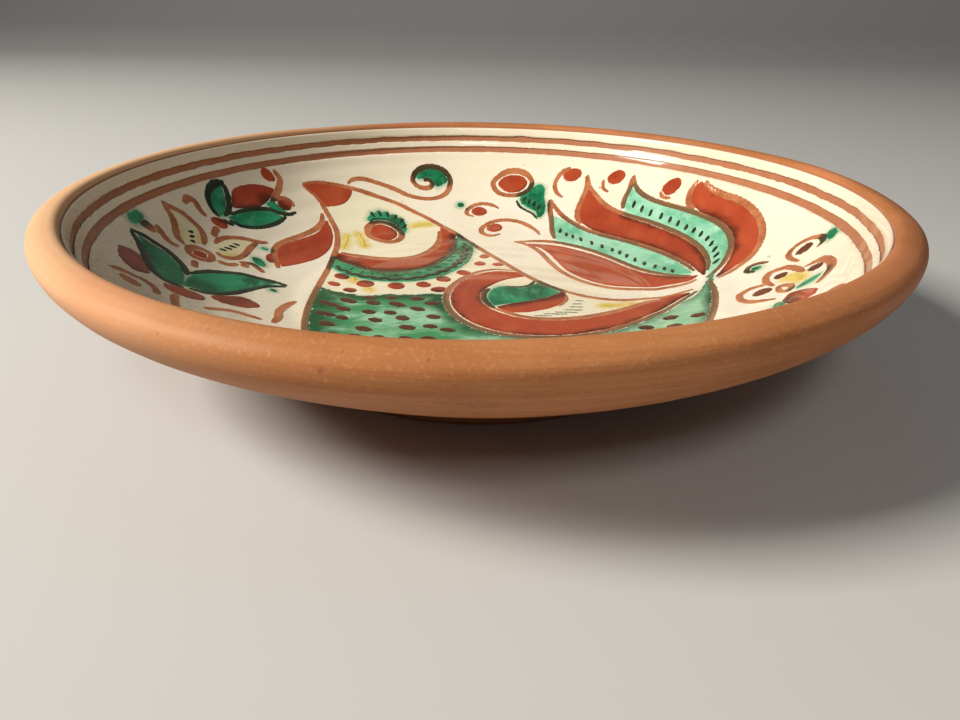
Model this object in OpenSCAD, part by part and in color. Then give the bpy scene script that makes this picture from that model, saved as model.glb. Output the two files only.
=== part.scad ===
// Hand painted earthenware plate: a thrown clay body with a turned foot, a white slip
// lining cut through by two scratched bands, and painted coats laid on the lining.
// Millimetres, +Z up, the foot stands on Z = 0 and the plate is centred on the Z axis.

/* [Plate] */
// Outside diameter at the widest point of the lip
plate_d = 200; // [160:1:250]
// Height from the foot to the crest of the lip
plate_h = 40.4; // [33:0.1:56]
// Radius of the flat middle of the dish
well_r = 38; // [20:1:46]
// Thickness of the clay floor inside the foot ring
floor_t = 6; // [4:0.5:9]
// Share of the way to the wall at which the dish curve turns up
fullness = 0.57; // [0.4:0.01:0.7]
// Height of the steep part of the inner wall
wall_h = 14; // [8:0.5:18]
// How far the steep part leans in towards its foot
wall_lean = 2.3; // [0.5:0.1:4]

/* [Lip] */
// Width of the bare clay lip, from the lining's edge to the outside
lip_w = 6.4; // [4:0.1:10]
// Radial distance from the crest of the lip to the outside
crest_in = 4.8; // [2.5:0.1:7]
// Drop from the crest to the widest point
lip_drop = 3.4; // [2:0.1:7]
// Drop from the crest to the lining's edge
lip_step = 1.5; // [1:0.1:3.5]
// Drop over which the outer wall stays steep
belly_drop = 10.7; // [6:0.1:16]

/* [Foot] */
// Outside radius of the turned foot ring
foot_r = 52; // [40:1:62]
// Width of the foot ring where it stands
foot_w = 6; // [3:0.5:10]
// Height of the foot ring
foot_h = 3; // [1.5:0.1:5]
// How far the outer wall starts outside the foot ring
foot_step = 2; // [1:0.1:4]
// How far the outer wall starts above the inside of the foot ring
foot_rise = 1.2; // [0.5:0.1:2]

/* [Lining] */
// Thickness of the white slip
slip_t = 0.5; // [0.3:0.05:1]
// Width of the slip ring next to the lip
rim_ring_w = 0.9; // [0.5:0.1:1.5]
// Width of the outer scratched band
outer_band_w = 0.6; // [0.4:0.1:1.5]
// Width of the slip ring between the two bands
middle_ring_w = 0.9; // [0.5:0.1:2]
// Width of the inner scratched band
inner_band_w = 1.2; // [0.6:0.1:2.5]

/* [Painting] */
// Thickness of one painted coat
coat_t = 0.25; // [0.15:0.05:0.5]
// Width of a contour line
line_w = 1.6; // [0.8:0.1:2.2]
// Width of a curl, a stem or a petal's outline
curl_w = 1.3; // [0.8:0.1:1.6]
// Width of a fine brush stroke
fine_w = 0.9; // [0.4:0.1:1.3]
// Bare gap left between a contour line and the coat beside it
paint_gap = 0.25; // [0.1:0.05:0.5]
// Height of the waves on the collar's scalloped edge
scallop_h = 0.55; // [0.2:0.05:0.9]
// Number of waves on the collar's scalloped edge
scallops = 15; // [9:1:21]
// Half length of a tick drawn over a coat
tick_l = 1.6; // [1:0.1:2]
// Half width of a tick drawn over a coat
tick_w = 0.6; // [0.3:0.05:0.8]
// Width of the fine hatching on the wing
hatch_w = 0.4; // [0.3:0.05:0.6]

/* [Hidden] */
$fn = 96;
steps = 4;              // points drawn for each span of a painted curve
bands = 8;              // cone bands in the curve of the dish
taper_s = 0.22;         // share of a stroke over which its end narrows
dash_x = 5.6;           // spacing of the belly's dashes across and down
dash_y = 5;
clear = 2 * paint_gap;  // growth of a line when it is cut out of a coat

plate_r = plate_d / 2;
floor_z = foot_h + floor_t + slip_t;
edge_r = plate_r - lip_w - slip_t;
edge_z = plate_h - lip_step;
outer_band_r = edge_r - rim_ring_w;
middle_ring_r = outer_band_r - outer_band_w;
inner_band_r = middle_ring_r - middle_ring_w;
field_r = inner_band_r - inner_band_w;
drawn_r = 89.5;         // field radius for which the painting is drawn
art = field_r / drawn_r;

red = "#a8442a";
dark_red = "#7a2c1c";
clay = "#c98a5c";
line_brown = "#b06a40";
cream = "#efe4c8";
pale_yellow = "#ece0a8";
green = "#1f7a4a";
mint = "#8fcaa8";
dark_green = "#2b3a26";
yellow = "#d8b84a";

function bezier2(p, t) = pow(1 - t, 2) * p[0] + 2 * t * (1 - t) * p[1] + t * t * p[2];
function bezier3(p, t) =
    pow(1 - t, 3) * p[0] + 3 * t * pow(1 - t, 2) * p[1] + 3 * t * t * (1 - t) * p[2] + t * t * t * p[3];
function reversed(p) = [for (i = [len(p) - 1:-1:0]) p[i]];
function polar(r, a) = [r * cos(a), r * sin(a)];

// Curve of the dish, from the axis to the lining's edge, raised by off from the slip's face
function dish_handles(off) = let (steep_r = edge_r - wall_lean) [
    [well_r, floor_z + off],
    [well_r + fullness * (steep_r - well_r), floor_z + off],
    [steep_r - off, edge_z - wall_h],
    [edge_r - off, edge_z]
];
function dish(off) = concat(
    [[0, floor_z + off]],
    [for (i = [0:bands]) bezier3(dish_handles(off), i / bands)]
);

// A smooth curve through points given on the drawn plate, taken to this plate's size
function span_at(a, b, c, d, t) =
    ((3 * (b - c) + d - a) * pow(t, 3) + (2 * a - 5 * b + 4 * c - d) * t * t + (c - a) * t + 2 * b) / 2;
function side(p) = let (n = len(p) - 1) [
    for (i = [0:n - 1]) for (k = [0:steps - 1])
        art * span_at(p[max(i - 1, 0)], p[i], p[i + 1], p[min(i + 2, n)], k / steps)
];
function smooth(p) = concat(side(p), [art * p[len(p) - 1]]);
function smooth_loop(p) = let (n = len(p)) [
    for (i = [0:n - 1]) for (k = [0:steps - 1])
        art * span_at(p[(i + n - 1) % n], p[i], p[(i + 1) % n], p[(i + 2) % n], k / steps)
];
function left_of(v) = [-v[1], v[0]] / norm(v);
function taper(s, first, last) =
    min(first + (1 - first) * sin(90 * min(1, s / taper_s)), last + (1 - last) * sin(90 * min(1, (1 - s) / taper_s)));
function shifted(c, w, first, last) = let (n = len(c) - 1) [
    for (i = [0:n]) c[i] + w / 2 * taper(i / n, first, last) * left_of(c[min(i + 1, n)] - c[max(i - 1, 0)])
];
function shifted_loop(c, w) = let (n = len(c)) [
    for (i = [0:n - 1]) c[i] + w / 2 * left_of(c[(i + 1) % n] - c[(i + n - 1) % n])
];

// A brush stroke along points p, w wide, with its ends narrowed to shares first and last
module stroke(p, w = line_w, first = 0.35, last = 0.35, grow = 0) {
    c = smooth(p);
    polygon(concat(shifted(c, w + grow, first, last), reversed(shifted(c, -w - grow, first, last))));
}
module strokes(list, w = line_w, grow = 0) {
    for (p = list) stroke(p, w, grow = grow);
}
// A closed stroke round points p
module loop_stroke(p, w = line_w, grow = 0) {
    c = smooth_loop(p);
    difference() {
        polygon(shifted_loop(c, -w - grow));
        polygon(shifted_loop(c, w + grow));
    }
}
// A shape with a round outline, and one with a corner where each side ends
module blob(p) { polygon(smooth_loop(p)); }
module petal(sides) { polygon([for (p = sides) for (q = side(p)) q]); }
// Ovals given as [x, y, half length, half width, tilt]
module ovals(list, grow = 0) {
    for (o = list)
        polygon([for (a = [0:30:359]) let (q = [(o[2] + grow) * cos(a), (o[3] + grow) * sin(a)])
            art * [o[0] + q[0] * cos(o[4]) - q[1] * sin(o[4]), o[1] + q[0] * sin(o[4]) + q[1] * cos(o[4])]]);
}
// A coat of paint over the outline given as a child, laid on the slip or on the coat below
module coat(layer = 0) {
    intersection() {
        linear_extrude(plate_h) children();
        rotate_extrude() polygon(concat(dish(layer * coat_t), reversed(dish((layer + 1) * coat_t))));
    }
}
module slip_between(r_in, r_out) {
    rotate_extrude() intersection() {
        polygon(concat(dish(0), reversed(dish(-slip_t))));
        translate([r_in, 0]) square([r_out - r_in, plate_h]);
    }
}

// ---- The plate itself ----
module clay_body() {
    crest_r = plate_r - crest_in;
    lining_r = edge_r + slip_t;
    lip_in = [for (a = [75:-15:0]) [crest_r - (crest_r - lining_r) * cos(90 - a), edge_z + lip_step * cos(a)]];
    lip_out = [for (a = [75:-15:0]) [crest_r + crest_in * cos(a), plate_h - lip_drop + lip_drop * sin(a)]];
    wall = [[plate_r, plate_h - lip_drop], [plate_r, plate_h - lip_drop - belly_drop],
        [foot_r + foot_step, foot_h + foot_rise]];
    outer = [for (i = [1:10]) bezier2(wall, i / 10)];
    foot = [[foot_r, 0], [foot_r - foot_w, 0], [foot_r - foot_w - foot_h / 3, foot_h], [0, foot_h]];
    color(clay) rotate_extrude() polygon(concat(dish(-slip_t), lip_in, lip_out, outer, foot));
}
module rim_slip_ring() { color(cream) slip_between(outer_band_r, plate_r); }
module middle_slip_ring() { color(cream) slip_between(inner_band_r, middle_ring_r); }
module field_slip() { color(cream) slip_between(0, field_r); }

// ---- The bird: contour lines ----
neck_line = [
    [-58.5, 60], [-55, 58.7], [-52, 56.4], [-49, 51.8], [-46.3, 47], [-44.6, 42], [-43.6, 35], [-43.3, 26],
    [-43.2, 16], [-43.3, 5], [-43.1, -6], [-42.2, -17], [-40, -28], [-35, -38.5], [-27, -47.5], [-16, -53.5],
    [-2, -56]
];
back_line = [
    [-58.5, 60.4], [-54.5, 63.8], [-50, 66], [-45, 67.4], [-39, 68], [-32, 67.6], [-26, 66], [-20, 63],
    [-14.5, 59.2], [-9.5, 54.8], [-5, 49.5], [-0.5, 42.3], [4, 34.5], [8.5, 26], [12.5, 18.3], [16.5, 11.8],
    [21, 6], [26, 1.5], [31.5, -1.6], [38, -3], [45, -2.7], [52, -1.8], [57.5, -0.2]
];
rump_line = [
    [62.8, 3.5], [62.2, -3], [60.6, -10], [58, -17.5], [54.5, -25], [49.5, -33], [42, -41.5], [31, -49.5],
    [18, -54.5], [3, -56.2]
];
module bird_contours(grow = 0) { strokes([neck_line, back_line, rump_line], grow = grow); }
module bird_contour() { color(line_brown) coat() bird_contours(); }

// ---- The bird: head ----
module beak() {
    color(red) coat() difference() {
        petal([
            [[-58, 60.4], [-54, 63.6], [-49.6, 66], [-43.6, 67.4]],
            [[-43.6, 67.4], [-44.2, 63], [-46.6, 59], [-51, 55.8]],
            [[-51, 55.8], [-54, 58.6], [-58, 60.4]]
        ]);
        bird_contours(grow = clear);
    }
}
crest_curve = [
    [-45, 69], [-43.6, 71.2], [-40, 73], [-35, 73.4], [-29.5, 72.9], [-24, 71.6], [-19, 71.3], [-15, 72.3],
    [-12, 74.5], [-10.4, 77.6], [-10.3, 81], [-12.5, 83.4], [-16.5, 84.1], [-20.5, 82.9], [-23.2, 80.2],
    [-23.2, 77.3], [-20.5, 75.9], [-17.6, 76.4], [-16.5, 78.2], [-17.8, 79.6], [-19.6, 79.2]
];
module crest_line() { color(line_brown) coat() stroke(crest_curve, last = 0.8); }
module crest_curl() {
    color(green) coat() difference() {
        blob([
            [-22, 79.6], [-21, 81.8], [-17, 83.2], [-13, 82.4], [-11.4, 80.4], [-13, 78.8], [-15, 77.6],
            [-16.4, 79.8], [-18.4, 80.9], [-20.6, 79.8]
        ]);
        stroke(crest_curve, last = 0.8, grow = clear);
    }
}
eye_outline = [
    [-36.2, 49.5], [-34.8, 45.2], [-31.3, 43], [-27.8, 43], [-25.2, 45.6], [-24.9, 49.3], [-26.4, 52.6],
    [-29.3, 54.8], [-32.7, 54.9], [-35.3, 53]
];
module eye_ring() { color(line_brown) coat() loop_stroke(eye_outline); }
module eye_iris() {
    color(red) coat() blob([
        [-35, 49.8], [-33.9, 45.9], [-31, 44.2], [-28.2, 44.3], [-26.4, 47.6], [-27.2, 51.4], [-30.4, 53.6], [-33.6, 53]
    ]);
}
module eye_lashes() {
    color(green) coat() difference() {
        union() {
            petal([
                [[-36.5, 55], [-36.3, 57.3], [-33.5, 59.6], [-30.5, 60], [-27.6, 59.2], [-25.3, 57], [-24, 54],
                    [-24, 51]],
                [[-24, 51], [-26.5, 54.2], [-29.5, 56.5], [-33, 56.5], [-36.5, 55]]
            ]);
            strokes([
                [[-35.6, 59.4], [-34.6, 57]], [[-33.9, 60.8], [-32.6, 57.6]], [[-31.6, 61.2], [-30.2, 57.8]],
                [[-28.8, 60.6], [-27.4, 56.8]], [[-26.4, 59.2], [-25.2, 55.6], [-24.6, 52]]
            ], w = line_w);
        }
        loop_stroke(eye_outline, grow = clear);
    }
}
module lash_ticks() {
    color(dark_green) coat(1) difference() {
        union() {
            stroke([[-36, 54.4], [-34, 56.6], [-30.8, 57.2], [-27.6, 55.8], [-25.2, 52.4]], fine_w);
            ovals([[-35.4, 58.4, tick_l, tick_w, 120], [-33.2, 59.8, tick_l, tick_w, 110],
                [-30.6, 60.1, tick_l, tick_w, 100], [-28, 59.4, tick_l, tick_w, 80], [-25.9, 57.8, tick_l, tick_w, 70],
                [-24.6, 54.8, tick_l, tick_w, 75]]);
        }
        loop_stroke(eye_outline, grow = clear);
    }
}
wattle_line = [
    [-50.9, 51.4], [-50.4, 47], [-51.7, 42], [-54.6, 36.5], [-58, 30.7], [-59.6, 26], [-59.2, 21], [-57.8, 17],
    [-56.2, 12.6]
];
module wattle() {
    color(red) coat() difference() {
        union() {
            petal([
                [[-49, 48.5], [-47, 44], [-45.9, 39], [-45.6, 33], [-46.6, 27.5], [-48.6, 22.6], [-52, 18],
                    [-55.4, 14.4]],
                [[-55.4, 14.4], [-58, 19], [-58.6, 24], [-58, 27.6], [-55.4, 32], [-52.5, 36.5], [-50, 41.3],
                    [-49, 48.5]]
            ]);
            ovals([[-59.2, 17.6, 1.2, 2.4, 10]]);
        }
        stroke(wattle_line, grow = clear);
        bird_contours(grow = clear);
    }
}
module wattle_contour() { color(line_brown) coat() stroke(wattle_line); }

// ---- The bird: collars and breast ----
collar_line = [
    [-41.6, 30.8], [-37, 30.2], [-32, 29], [-27, 28.8], [-22.3, 29.9], [-18.2, 32.6], [-15.2, 36.8], [-13.2, 42],
    [-12.5, 47.5], [-12.9, 53.5]
];
under_line = [
    [-42, 25.8], [-36.5, 22], [-31, 18.9], [-25, 17.7], [-18.8, 19.5], [-14.1, 23.4], [-10.6, 29.1], [-8.2, 36],
    [-7.2, 42], [-6.9, 49]
];
module collar_lines(grow = 0) {
    stroke(collar_line, 1.4 * line_w, grow = grow);
    stroke(under_line, grow = grow);
}
module collar_contour() {
    color(line_brown) coat() difference() {
        collar_lines();
        bird_contours(grow = clear);
    }
}
module red_collar() {
    color(red) coat() difference() {
        petal([
            [[-42.3, 30], [-36, 28.3], [-30, 27.2], [-24, 28], [-19, 31], [-15.5, 35], [-13, 40], [-12, 45],
                [-12, 50], [-12.4, 57]],
            [[-12.4, 57], [-8, 53], [-7.7, 48], [-7.8, 42], [-8.6, 36], [-11, 29.5], [-14.5, 23.8], [-19, 20],
                [-25, 18.2], [-31, 19.3], [-36.5, 22.6], [-42.3, 26.6]],
            [[-42.3, 26.6], [-42.3, 30]]
        ]);
        collar_lines(grow = clear);
        bird_contours(grow = clear);
    }
}
scallop_line = [
    [-41.4, 20], [-38.2, 16.8], [-34, 14], [-29.5, 12], [-24.5, 11.1], [-19.5, 11.7], [-15, 13.8], [-11.3, 17],
    [-8.4, 20.8], [-6.2, 25.2], [-4.8, 30], [-4, 35], [-3.9, 40], [-4.6, 44.8]
];
function waved(p, h, n) = let (c = smooth(p), m = len(c) - 1) [
    for (i = [0:m]) c[i] + h * sin(360 * n * i / m) * left_of(c[min(i + 1, m)] - c[max(i - 1, 0)])
];
module scallop_edge(grow = 0) {
    c = waved(scallop_line, scallop_h, scallops);
    polygon(concat(shifted(c, line_w + grow, 0.5, 0.5), reversed(shifted(c, -line_w - grow, 0.5, 0.5))));
}
module green_collar() {
    color(green) coat() difference() {
        petal([
            [[-42.2, 25.8], [-37, 22], [-31.5, 18.6], [-25.2, 17.3], [-18.6, 19], [-13.8, 22.8], [-10.2, 28.5],
                [-7.8, 35.5], [-6.8, 42], [-6.6, 50]],
            [[-6.6, 50], [-2.6, 44.5], [-1.8, 39], [-2.2, 33], [-3.2, 27.5], [-5.2, 22.5], [-8, 17.8], [-12, 13],
                [-17, 10.2], [-23, 9.3], [-29, 10], [-34.5, 12.5], [-39.5, 16], [-42.2, 19.5]],
            [[-42.2, 19.5], [-42.2, 25.8]]
        ]);
        scallop_edge(grow = clear);
        collar_lines(grow = clear);
        bird_contours(grow = clear);
    }
}
module collar_scallops() {
    color(dark_green) coat() difference() {
        scallop_edge();
        bird_contours(grow = clear);
    }
}
module collar_ticks() {
    inner = smooth([[-39.2, 20.6], [-33.2, 16.6], [-26.8, 14.6], [-20.1, 15.4], [-14, 19.4], [-10, 25], [-7.5, 31.8],
        [-6, 39]]);
    color(dark_green) coat(1) for (i = [2:2:len(inner) - 2])
        translate(inner[i])
            rotate(atan2(inner[i + 1][1] - inner[i][1], inner[i + 1][0] - inner[i][0]) - 62)
                polygon([for (a = [0:30:359]) [tick_l * 0.8 * cos(a), tick_w * 0.8 * sin(a)]]);
}
module breast_dots() {
    color(red) coat() difference() {
        ovals([
            [-38.4, 12.4, 2.5, 1.9, -50], [-39.5, 6.3, 2.1, 1.4, -40], [-34.4, 1.9, 2.1, 1.5, -40],
            [-31, 7, 2.9, 2.4, -60], [-22.3, 5.7, 2.8, 2.3, -70], [-14.9, 7, 2.3, 2, -60],
            [-9.6, 11.8, 2.5, 2, -60], [-10.4, 3.3, 2.3, 2.1, 0], [-4, 17.4, 2.4, 1.9, -60],
            [0.7, 26, 2, 1.7, 90], [6.1, 25.5, 1.7, 1.6, 0], [2.2, 33.2, 2.3, 1.5, 75]
        ]);
        wing_strokes(grow = clear);
        bird_contours(grow = clear);
        scallop_edge(grow = clear);
    }
}

// ---- The bird: wing ----
wing_lines = [
    [[10.4, 20], [5.5, 20.7], [1, 18.9], [-3.2, 14], [-6.5, 7.6], [-8.1, 1], [-8.1, -6], [-6.4, -13],
        [-2.9, -19.4], [2.2, -24.2], [8.5, -27], [15.5, -27.8], [23, -26.9], [30.5, -24], [38, -19.4],
        [45.5, -13.6], [52.5, -7.2], [58.2, -1.8]],
    [[50, -4.2], [45.5, -4.8], [40, -8], [34, -11.6], [28, -14.5], [22, -16.1], [16, -16.4], [11, -15],
        [7.2, -12.4], [4.4, -9.8]],
    [[3.2, 4.6], [1.9, 1.2], [1.8, -3], [3, -7.2], [4.6, -10.4]],
    [[16, 11], [14.6, 7.8], [11.8, 6.1], [7.8, 6.4]],
    [[23.9, 0.4], [23.4, -3.6], [21.2, -7.8]]
];
module wing_strokes(grow = 0) {
    strokes([wing_lines[0], wing_lines[1], wing_lines[2]], grow = grow);
    strokes([wing_lines[3], wing_lines[4]], fine_w, grow);
}
module wing_contour() {
    color(line_brown) coat() difference() {
        wing_strokes();
        bird_contours(grow = clear);
    }
}
module wing_red() {
    color(red) coat() difference() {
        petal([
            [[11.8, 18], [7, 18.9], [2.5, 17.6], [-1.4, 14], [-4.6, 8.4], [-6.4, 2], [-6.5, -5], [-5.1, -11.5],
                [-2, -17.6], [2.8, -22.6], [8.6, -25.4], [15.4, -26.2], [22.6, -25.4], [29.8, -22.6],
                [37, -18.4], [44.2, -12.8], [51, -6.6], [56, -2.4]],
            [[56, -2.4], [50, -2.9], [45, -6], [40, -9.2], [34, -12.9], [28, -15.9], [22, -17.5], [15.8, -17.7],
                [10.2, -16.2], [5.8, -13.2], [2.4, -9.2], [0.6, -4], [0.6, 1.4], [2.8, 6.2], [6.4, 11],
                [10.6, 14], [13.6, 15.2]],
            [[13.6, 15.2], [11.8, 18]]
        ]);
        wing_strokes(grow = clear);
        bird_contours(grow = clear);
    }
}
module wing_leaf() {
    color(green) coat() difference() {
        petal([
            [[4.6, -7.6], [3.2, -3], [3.6, 1.6], [5, 5], [7.4, 6.2], [11.5, 5.6], [15, 7.4], [17.2, 9.6]],
            [[17.2, 9.6], [21.8, 3.4], [19.6, -0.2], [15.6, -2.8], [10.8, -4.9], [4.6, -7.6]]
        ]);
        wing_strokes(grow = clear);
        bird_contours(grow = clear);
    }
}
module wing_feather() {
    color(red) coat() difference() {
        petal([
            [[5.6, -8.8], [10.4, -5.9], [15, -4], [19.6, -1], [23.4, 3]],
            [[23.4, 3], [23.4, -1.6], [21, -6.6], [16.6, -10.2], [11.2, -12.2], [7.6, -11.6], [5.6, -8.8]]
        ]);
        wing_strokes(grow = clear);
        bird_contours(grow = clear);
    }
}
module wing_hatching() {
    rows = [
        [27, -3.8, 2], [26.2, -6.1, 2.8], [25.6, -8.2, 3.6], [24.8, -10.3, 5], [22.6, -11.9, 6], [19.8, -13.2, 6],
        [16.6, -14.5, 4.4]
    ];
    color(dark_green) coat()
        for (h = rows) strokes([[[h[0] - h[2] / 2, h[1]], [h[0] + h[2] / 2, h[1]]]], w = hatch_w);
}
belly_side = [
    [-42, 2.5], [-36, -0.4], [-30, -2.2], [-24, -1.2], [-18, -1.4], [-12, -0.2], [-8.2, -1.4]
];
module belly_wash() {
    color(mint) coat() difference() {
        petal([
            belly_side,
            [[-8.2, -1.4], [-8.6, -7], [-6.8, -14], [-3, -20.6], [2.4, -25.4], [9, -28.2], [16, -28.9],
                [24, -27.9], [31.4, -25], [39, -20.2], [46.4, -14.4], [53.4, -8], [58.6, -2.8], [64.4, 7]],
            [[64.4, 7], [62.8, 0], [61.4, -8], [58.4, -16.6], [54, -25.4], [48.5, -33.8], [41, -42], [31, -49],
                [18, -53.9], [2, -55.7], [-14, -53.6], [-26, -47.5], [-34.6, -38.6], [-39.6, -28], [-41.8, -17],
                [-42.6, -6], [-42, 2.5]]
        ]);
        bird_contours(grow = clear);
        wing_strokes(grow = clear);
    }
}
seen_dashes = [
    [-33.6, -6, 2.9, 1.4, -35], [-38.2, -8.4, 3.6, 1.2, -32], [-34, -11.6, 2.4, 1.3, -35],
    [-37.6, -15.6, 2.9, 1.3, -22], [-33.2, -17.6, 1.8, 1.2, -35], [-36.2, -22.1, 2.3, 1.6, -25],
    [-26.9, -7.3, 2.2, 1.5, -30], [-27.2, -13.6, 2, 1.4, -28], [-24.9, -18.8, 2, 1.3, -32],
    [-27, -24.3, 2.3, 1.4, -28], [-20.6, -8.1, 2.7, 1.5, -35], [-21.8, -13.9, 1.8, 1.3, -20],
    [-18.3, -17.3, 2, 1.5, -32], [-16.7, -23.1, 2.2, 1.5, -22], [-15.2, -11.1, 2.3, 1.3, -30],
    [-11.6, -7, 2, 1.5, 0], [-10.8, -16.2, 2, 1.4, -20], [-11.2, -22.3, 2, 1.3, -15], [-6.9, -24.3, 2, 1.2, -15],
    [-28.3, -3.6, 1.9, 1.2, -25], [-22.6, -3.4, 1.6, 1.4, 0], [-15.8, -3.9, 2, 1.6, 0],
    [47.9, -17.2, 2, 1.5, 10], [40.9, -22.4, 2, 1.4, 5], [47.4, -23.4, 2, 1.5, 10], [54.2, -18.2, 2, 1.2, 20]
];
module belly_dashes() {
    rows = [for (j = [0:4], i = [-8:9]) let (x = dash_x * (i + j % 2 / 2), y = -29.2 - dash_y * j)
        if (pow((x - 4) / 39, 2) + pow((y + 22) / 29, 2) < 1 && (y < -31 || abs(x - 16) > 24))
            [x + 0.5 * sin(97 * i + 31 * j), y + 0.5 * cos(61 * i), 2, 1.3, -28 + 9 * sin(137 * i + 53 * j)]];
    color(dark_red) coat(1) ovals(concat(seen_dashes, rows));
}

// ---- The bird: tail ----
tail_lines = [
    [[11.8, 46.6], [14.6, 45.2], [17.6, 41.4], [20.1, 35.6], [22, 28], [24, 21], [26.8, 15.2], [30.6, 10.4],
        [35.4, 7], [41.6, 4.9], [49, 3.9], [55.6, 4], [60, 5.8]],
    [[11.8, 46.8], [17, 46.9], [22, 46.2], [26.6, 44.2], [31.4, 40.8], [36, 36.4], [40.2, 31], [44, 25],
        [47.6, 19.2], [51.8, 14.4], [56.2, 11], [59.4, 9.4]],
    [[24.8, 70.4], [24.7, 65], [24.8, 59], [24.6, 53], [25, 47.6]],
    [[25.2, 70.6], [26.6, 66], [29, 61], [32, 56], [35.6, 51.2], [40, 46.6], [45.2, 41.6], [50, 36.2],
        [54, 30.4], [57.2, 24.4], [59.6, 17.8], [60.8, 11.6]],
    [[37.9, 75.8], [37.7, 72], [36, 68.2], [34, 63.6], [33.4, 59], [34.4, 55.6]],
    [[38.3, 76], [38.9, 71.4], [40.6, 67], [43, 62.2], [46.2, 57.6], [50.2, 53], [54.4, 48.2], [58.4, 42.4],
        [62, 35.6], [64.6, 28.4], [65.8, 21.2], [65.4, 14.6], [63.8, 9.6]],
    [[52.8, 68.6], [51.2, 65], [49.2, 61.8], [48.2, 58.2]],
    [[53.1, 68.8], [53.2, 65], [55, 60.6], [58, 56], [61.6, 51.4], [65.2, 46.6], [68.4, 41.4], [71.2, 35.8],
        [73, 30], [73.5, 24], [72.3, 18], [69.5, 12.6], [65.9, 8.2], [62.6, 5.2]],
    [[70.6, 53.4], [68, 51.4], [67.1, 48], [68.1, 44.6]],
    [[72.4, 51], [73.6, 47.2], [76, 42], [78.7, 36.4], [80.4, 30.4], [81, 24], [80.4, 17.8], [78, 12.2],
        [74.4, 8], [69.9, 5], [64.9, 3]]
];
module tail_strokes(grow = 0) { strokes(tail_lines, grow = grow); }
module tail_contours() {
    color(line_brown) coat() difference() {
        tail_strokes();
        bird_contours(grow = clear);
    }
}
module feather(shade, sides) {
    color(shade) coat() difference() {
        petal(sides);
        tail_strokes(grow = clear);
        bird_contours(grow = clear);
    }
}
module tail_feather_1() {
    feather(red, [
        [[15.4, 44.8], [20.4, 44], [25.4, 42.2], [30.4, 38.6], [35.4, 34], [39.8, 28.4], [43.6, 22.2],
            [47.6, 16.6], [52, 12.4], [57, 9.4], [60.6, 8.2]],
        [[60.6, 8.2], [57.6, 6.2], [50, 5.9], [42.4, 7], [36.6, 9], [32.2, 12.2], [28.8, 16.6], [26.4, 21.6],
            [24.6, 28.6], [22.6, 36], [20, 41.4], [15.4, 44.8]]
    ]);
}
module tail_feather_2() {
    feather(mint, [
        [[25.8, 61.6], [30, 56.6], [34.2, 50.8], [38.8, 46], [44.4, 40.8], [49, 35.4], [52.8, 29.8], [56, 23.8],
            [58.4, 17.4], [59.8, 11]],
        [[59.8, 11], [55.6, 12.4], [51.6, 15.8], [48.2, 20.4], [44.6, 26.4], [40.8, 32.2], [36.4, 37.6],
            [31.6, 42.2], [25.8, 46.4]],
        [[25.8, 46.4], [25.7, 54], [25.8, 61.6]]
    ]);
}
module tail_feather_3() {
    feather(red, [
        [[37.9, 71], [39.8, 66.4], [42.2, 61.6], [45.4, 57], [49.2, 52.2], [53.4, 47.2], [57.4, 41.4],
            [61, 34.8], [63.6, 27.8], [64.8, 21], [64.4, 14.6], [62.4, 7.6]],
        [[62.4, 7.6], [61.8, 12.4], [60.6, 18.4], [58.2, 24.8], [55, 31], [51, 36.8], [46.2, 42.4], [41, 47.4],
            [36.8, 52.2], [34.6, 57.4], [34.8, 63], [37.9, 71]]
    ]);
}
module tail_feather_4() {
    feather(mint, [
        [[52.2, 65.6], [54.2, 60.2], [57.2, 55.4], [60.8, 50.8], [64.4, 46], [67.6, 40.8], [70.2, 35.4],
            [72, 29.8], [72.5, 24], [71.2, 18.4], [68.4, 13.2], [63.8, 7.4]],
        [[63.8, 7.4], [66.4, 14.6], [66.8, 21.4], [65.6, 28.6], [63, 36], [59.2, 43.2], [55, 49.2],
            [51.2, 53.8], [49.2, 58], [52.2, 65.6]]
    ]);
}
module tail_feather_5() {
    feather(red, [
        [[68, 48], [69, 50.6], [71, 52], [72.4, 48.6], [75, 42.6], [77.8, 36.6], [79.4, 30.4], [80, 24],
            [79.2, 18], [77, 12.8], [73.6, 8.8], [65, 4.2]],
        [[65, 4.2], [70.2, 11.2], [73.2, 17.4], [74.5, 24], [74, 30.2], [72.2, 36.2], [69.6, 41.8], [68, 48]]
    ]);
}
module tail_ticks() {
    first = [
        [27.2, 52.8, 80], [29, 50, 84], [30.9, 48.2, 88], [33.2, 45.5, 88], [36.3, 42.2, 86], [39.1, 38.9, 84],
        [41.8, 35.6, 82], [43.7, 33, 78], [45.3, 30.1, 76], [47.2, 26.4, 78], [49.3, 22.8, 78], [51.8, 19.8, 76],
        [53.9, 17.2, 78], [55.6, 14.7, 84]
    ];
    second = [
        [51.8, 58, 70], [53.9, 54.7, 68], [56.1, 51.4, 68], [58.8, 48, 68], [60.9, 44.6, 68], [62.7, 41.2, 66],
        [64.4, 37.7, 64], [66, 34.6, 62], [67.3, 31.2, 60], [68.2, 27.6, 60], [68.5, 23.9, 58], [68.5, 20.2, 54],
        [68.1, 16.8, 48], [67.1, 13.3, 40]
    ];
    color(dark_green) coat(1) ovals([for (t = concat(first, second)) [t[0], t[1], tick_l, tick_w, t[2]]]);
}

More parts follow.
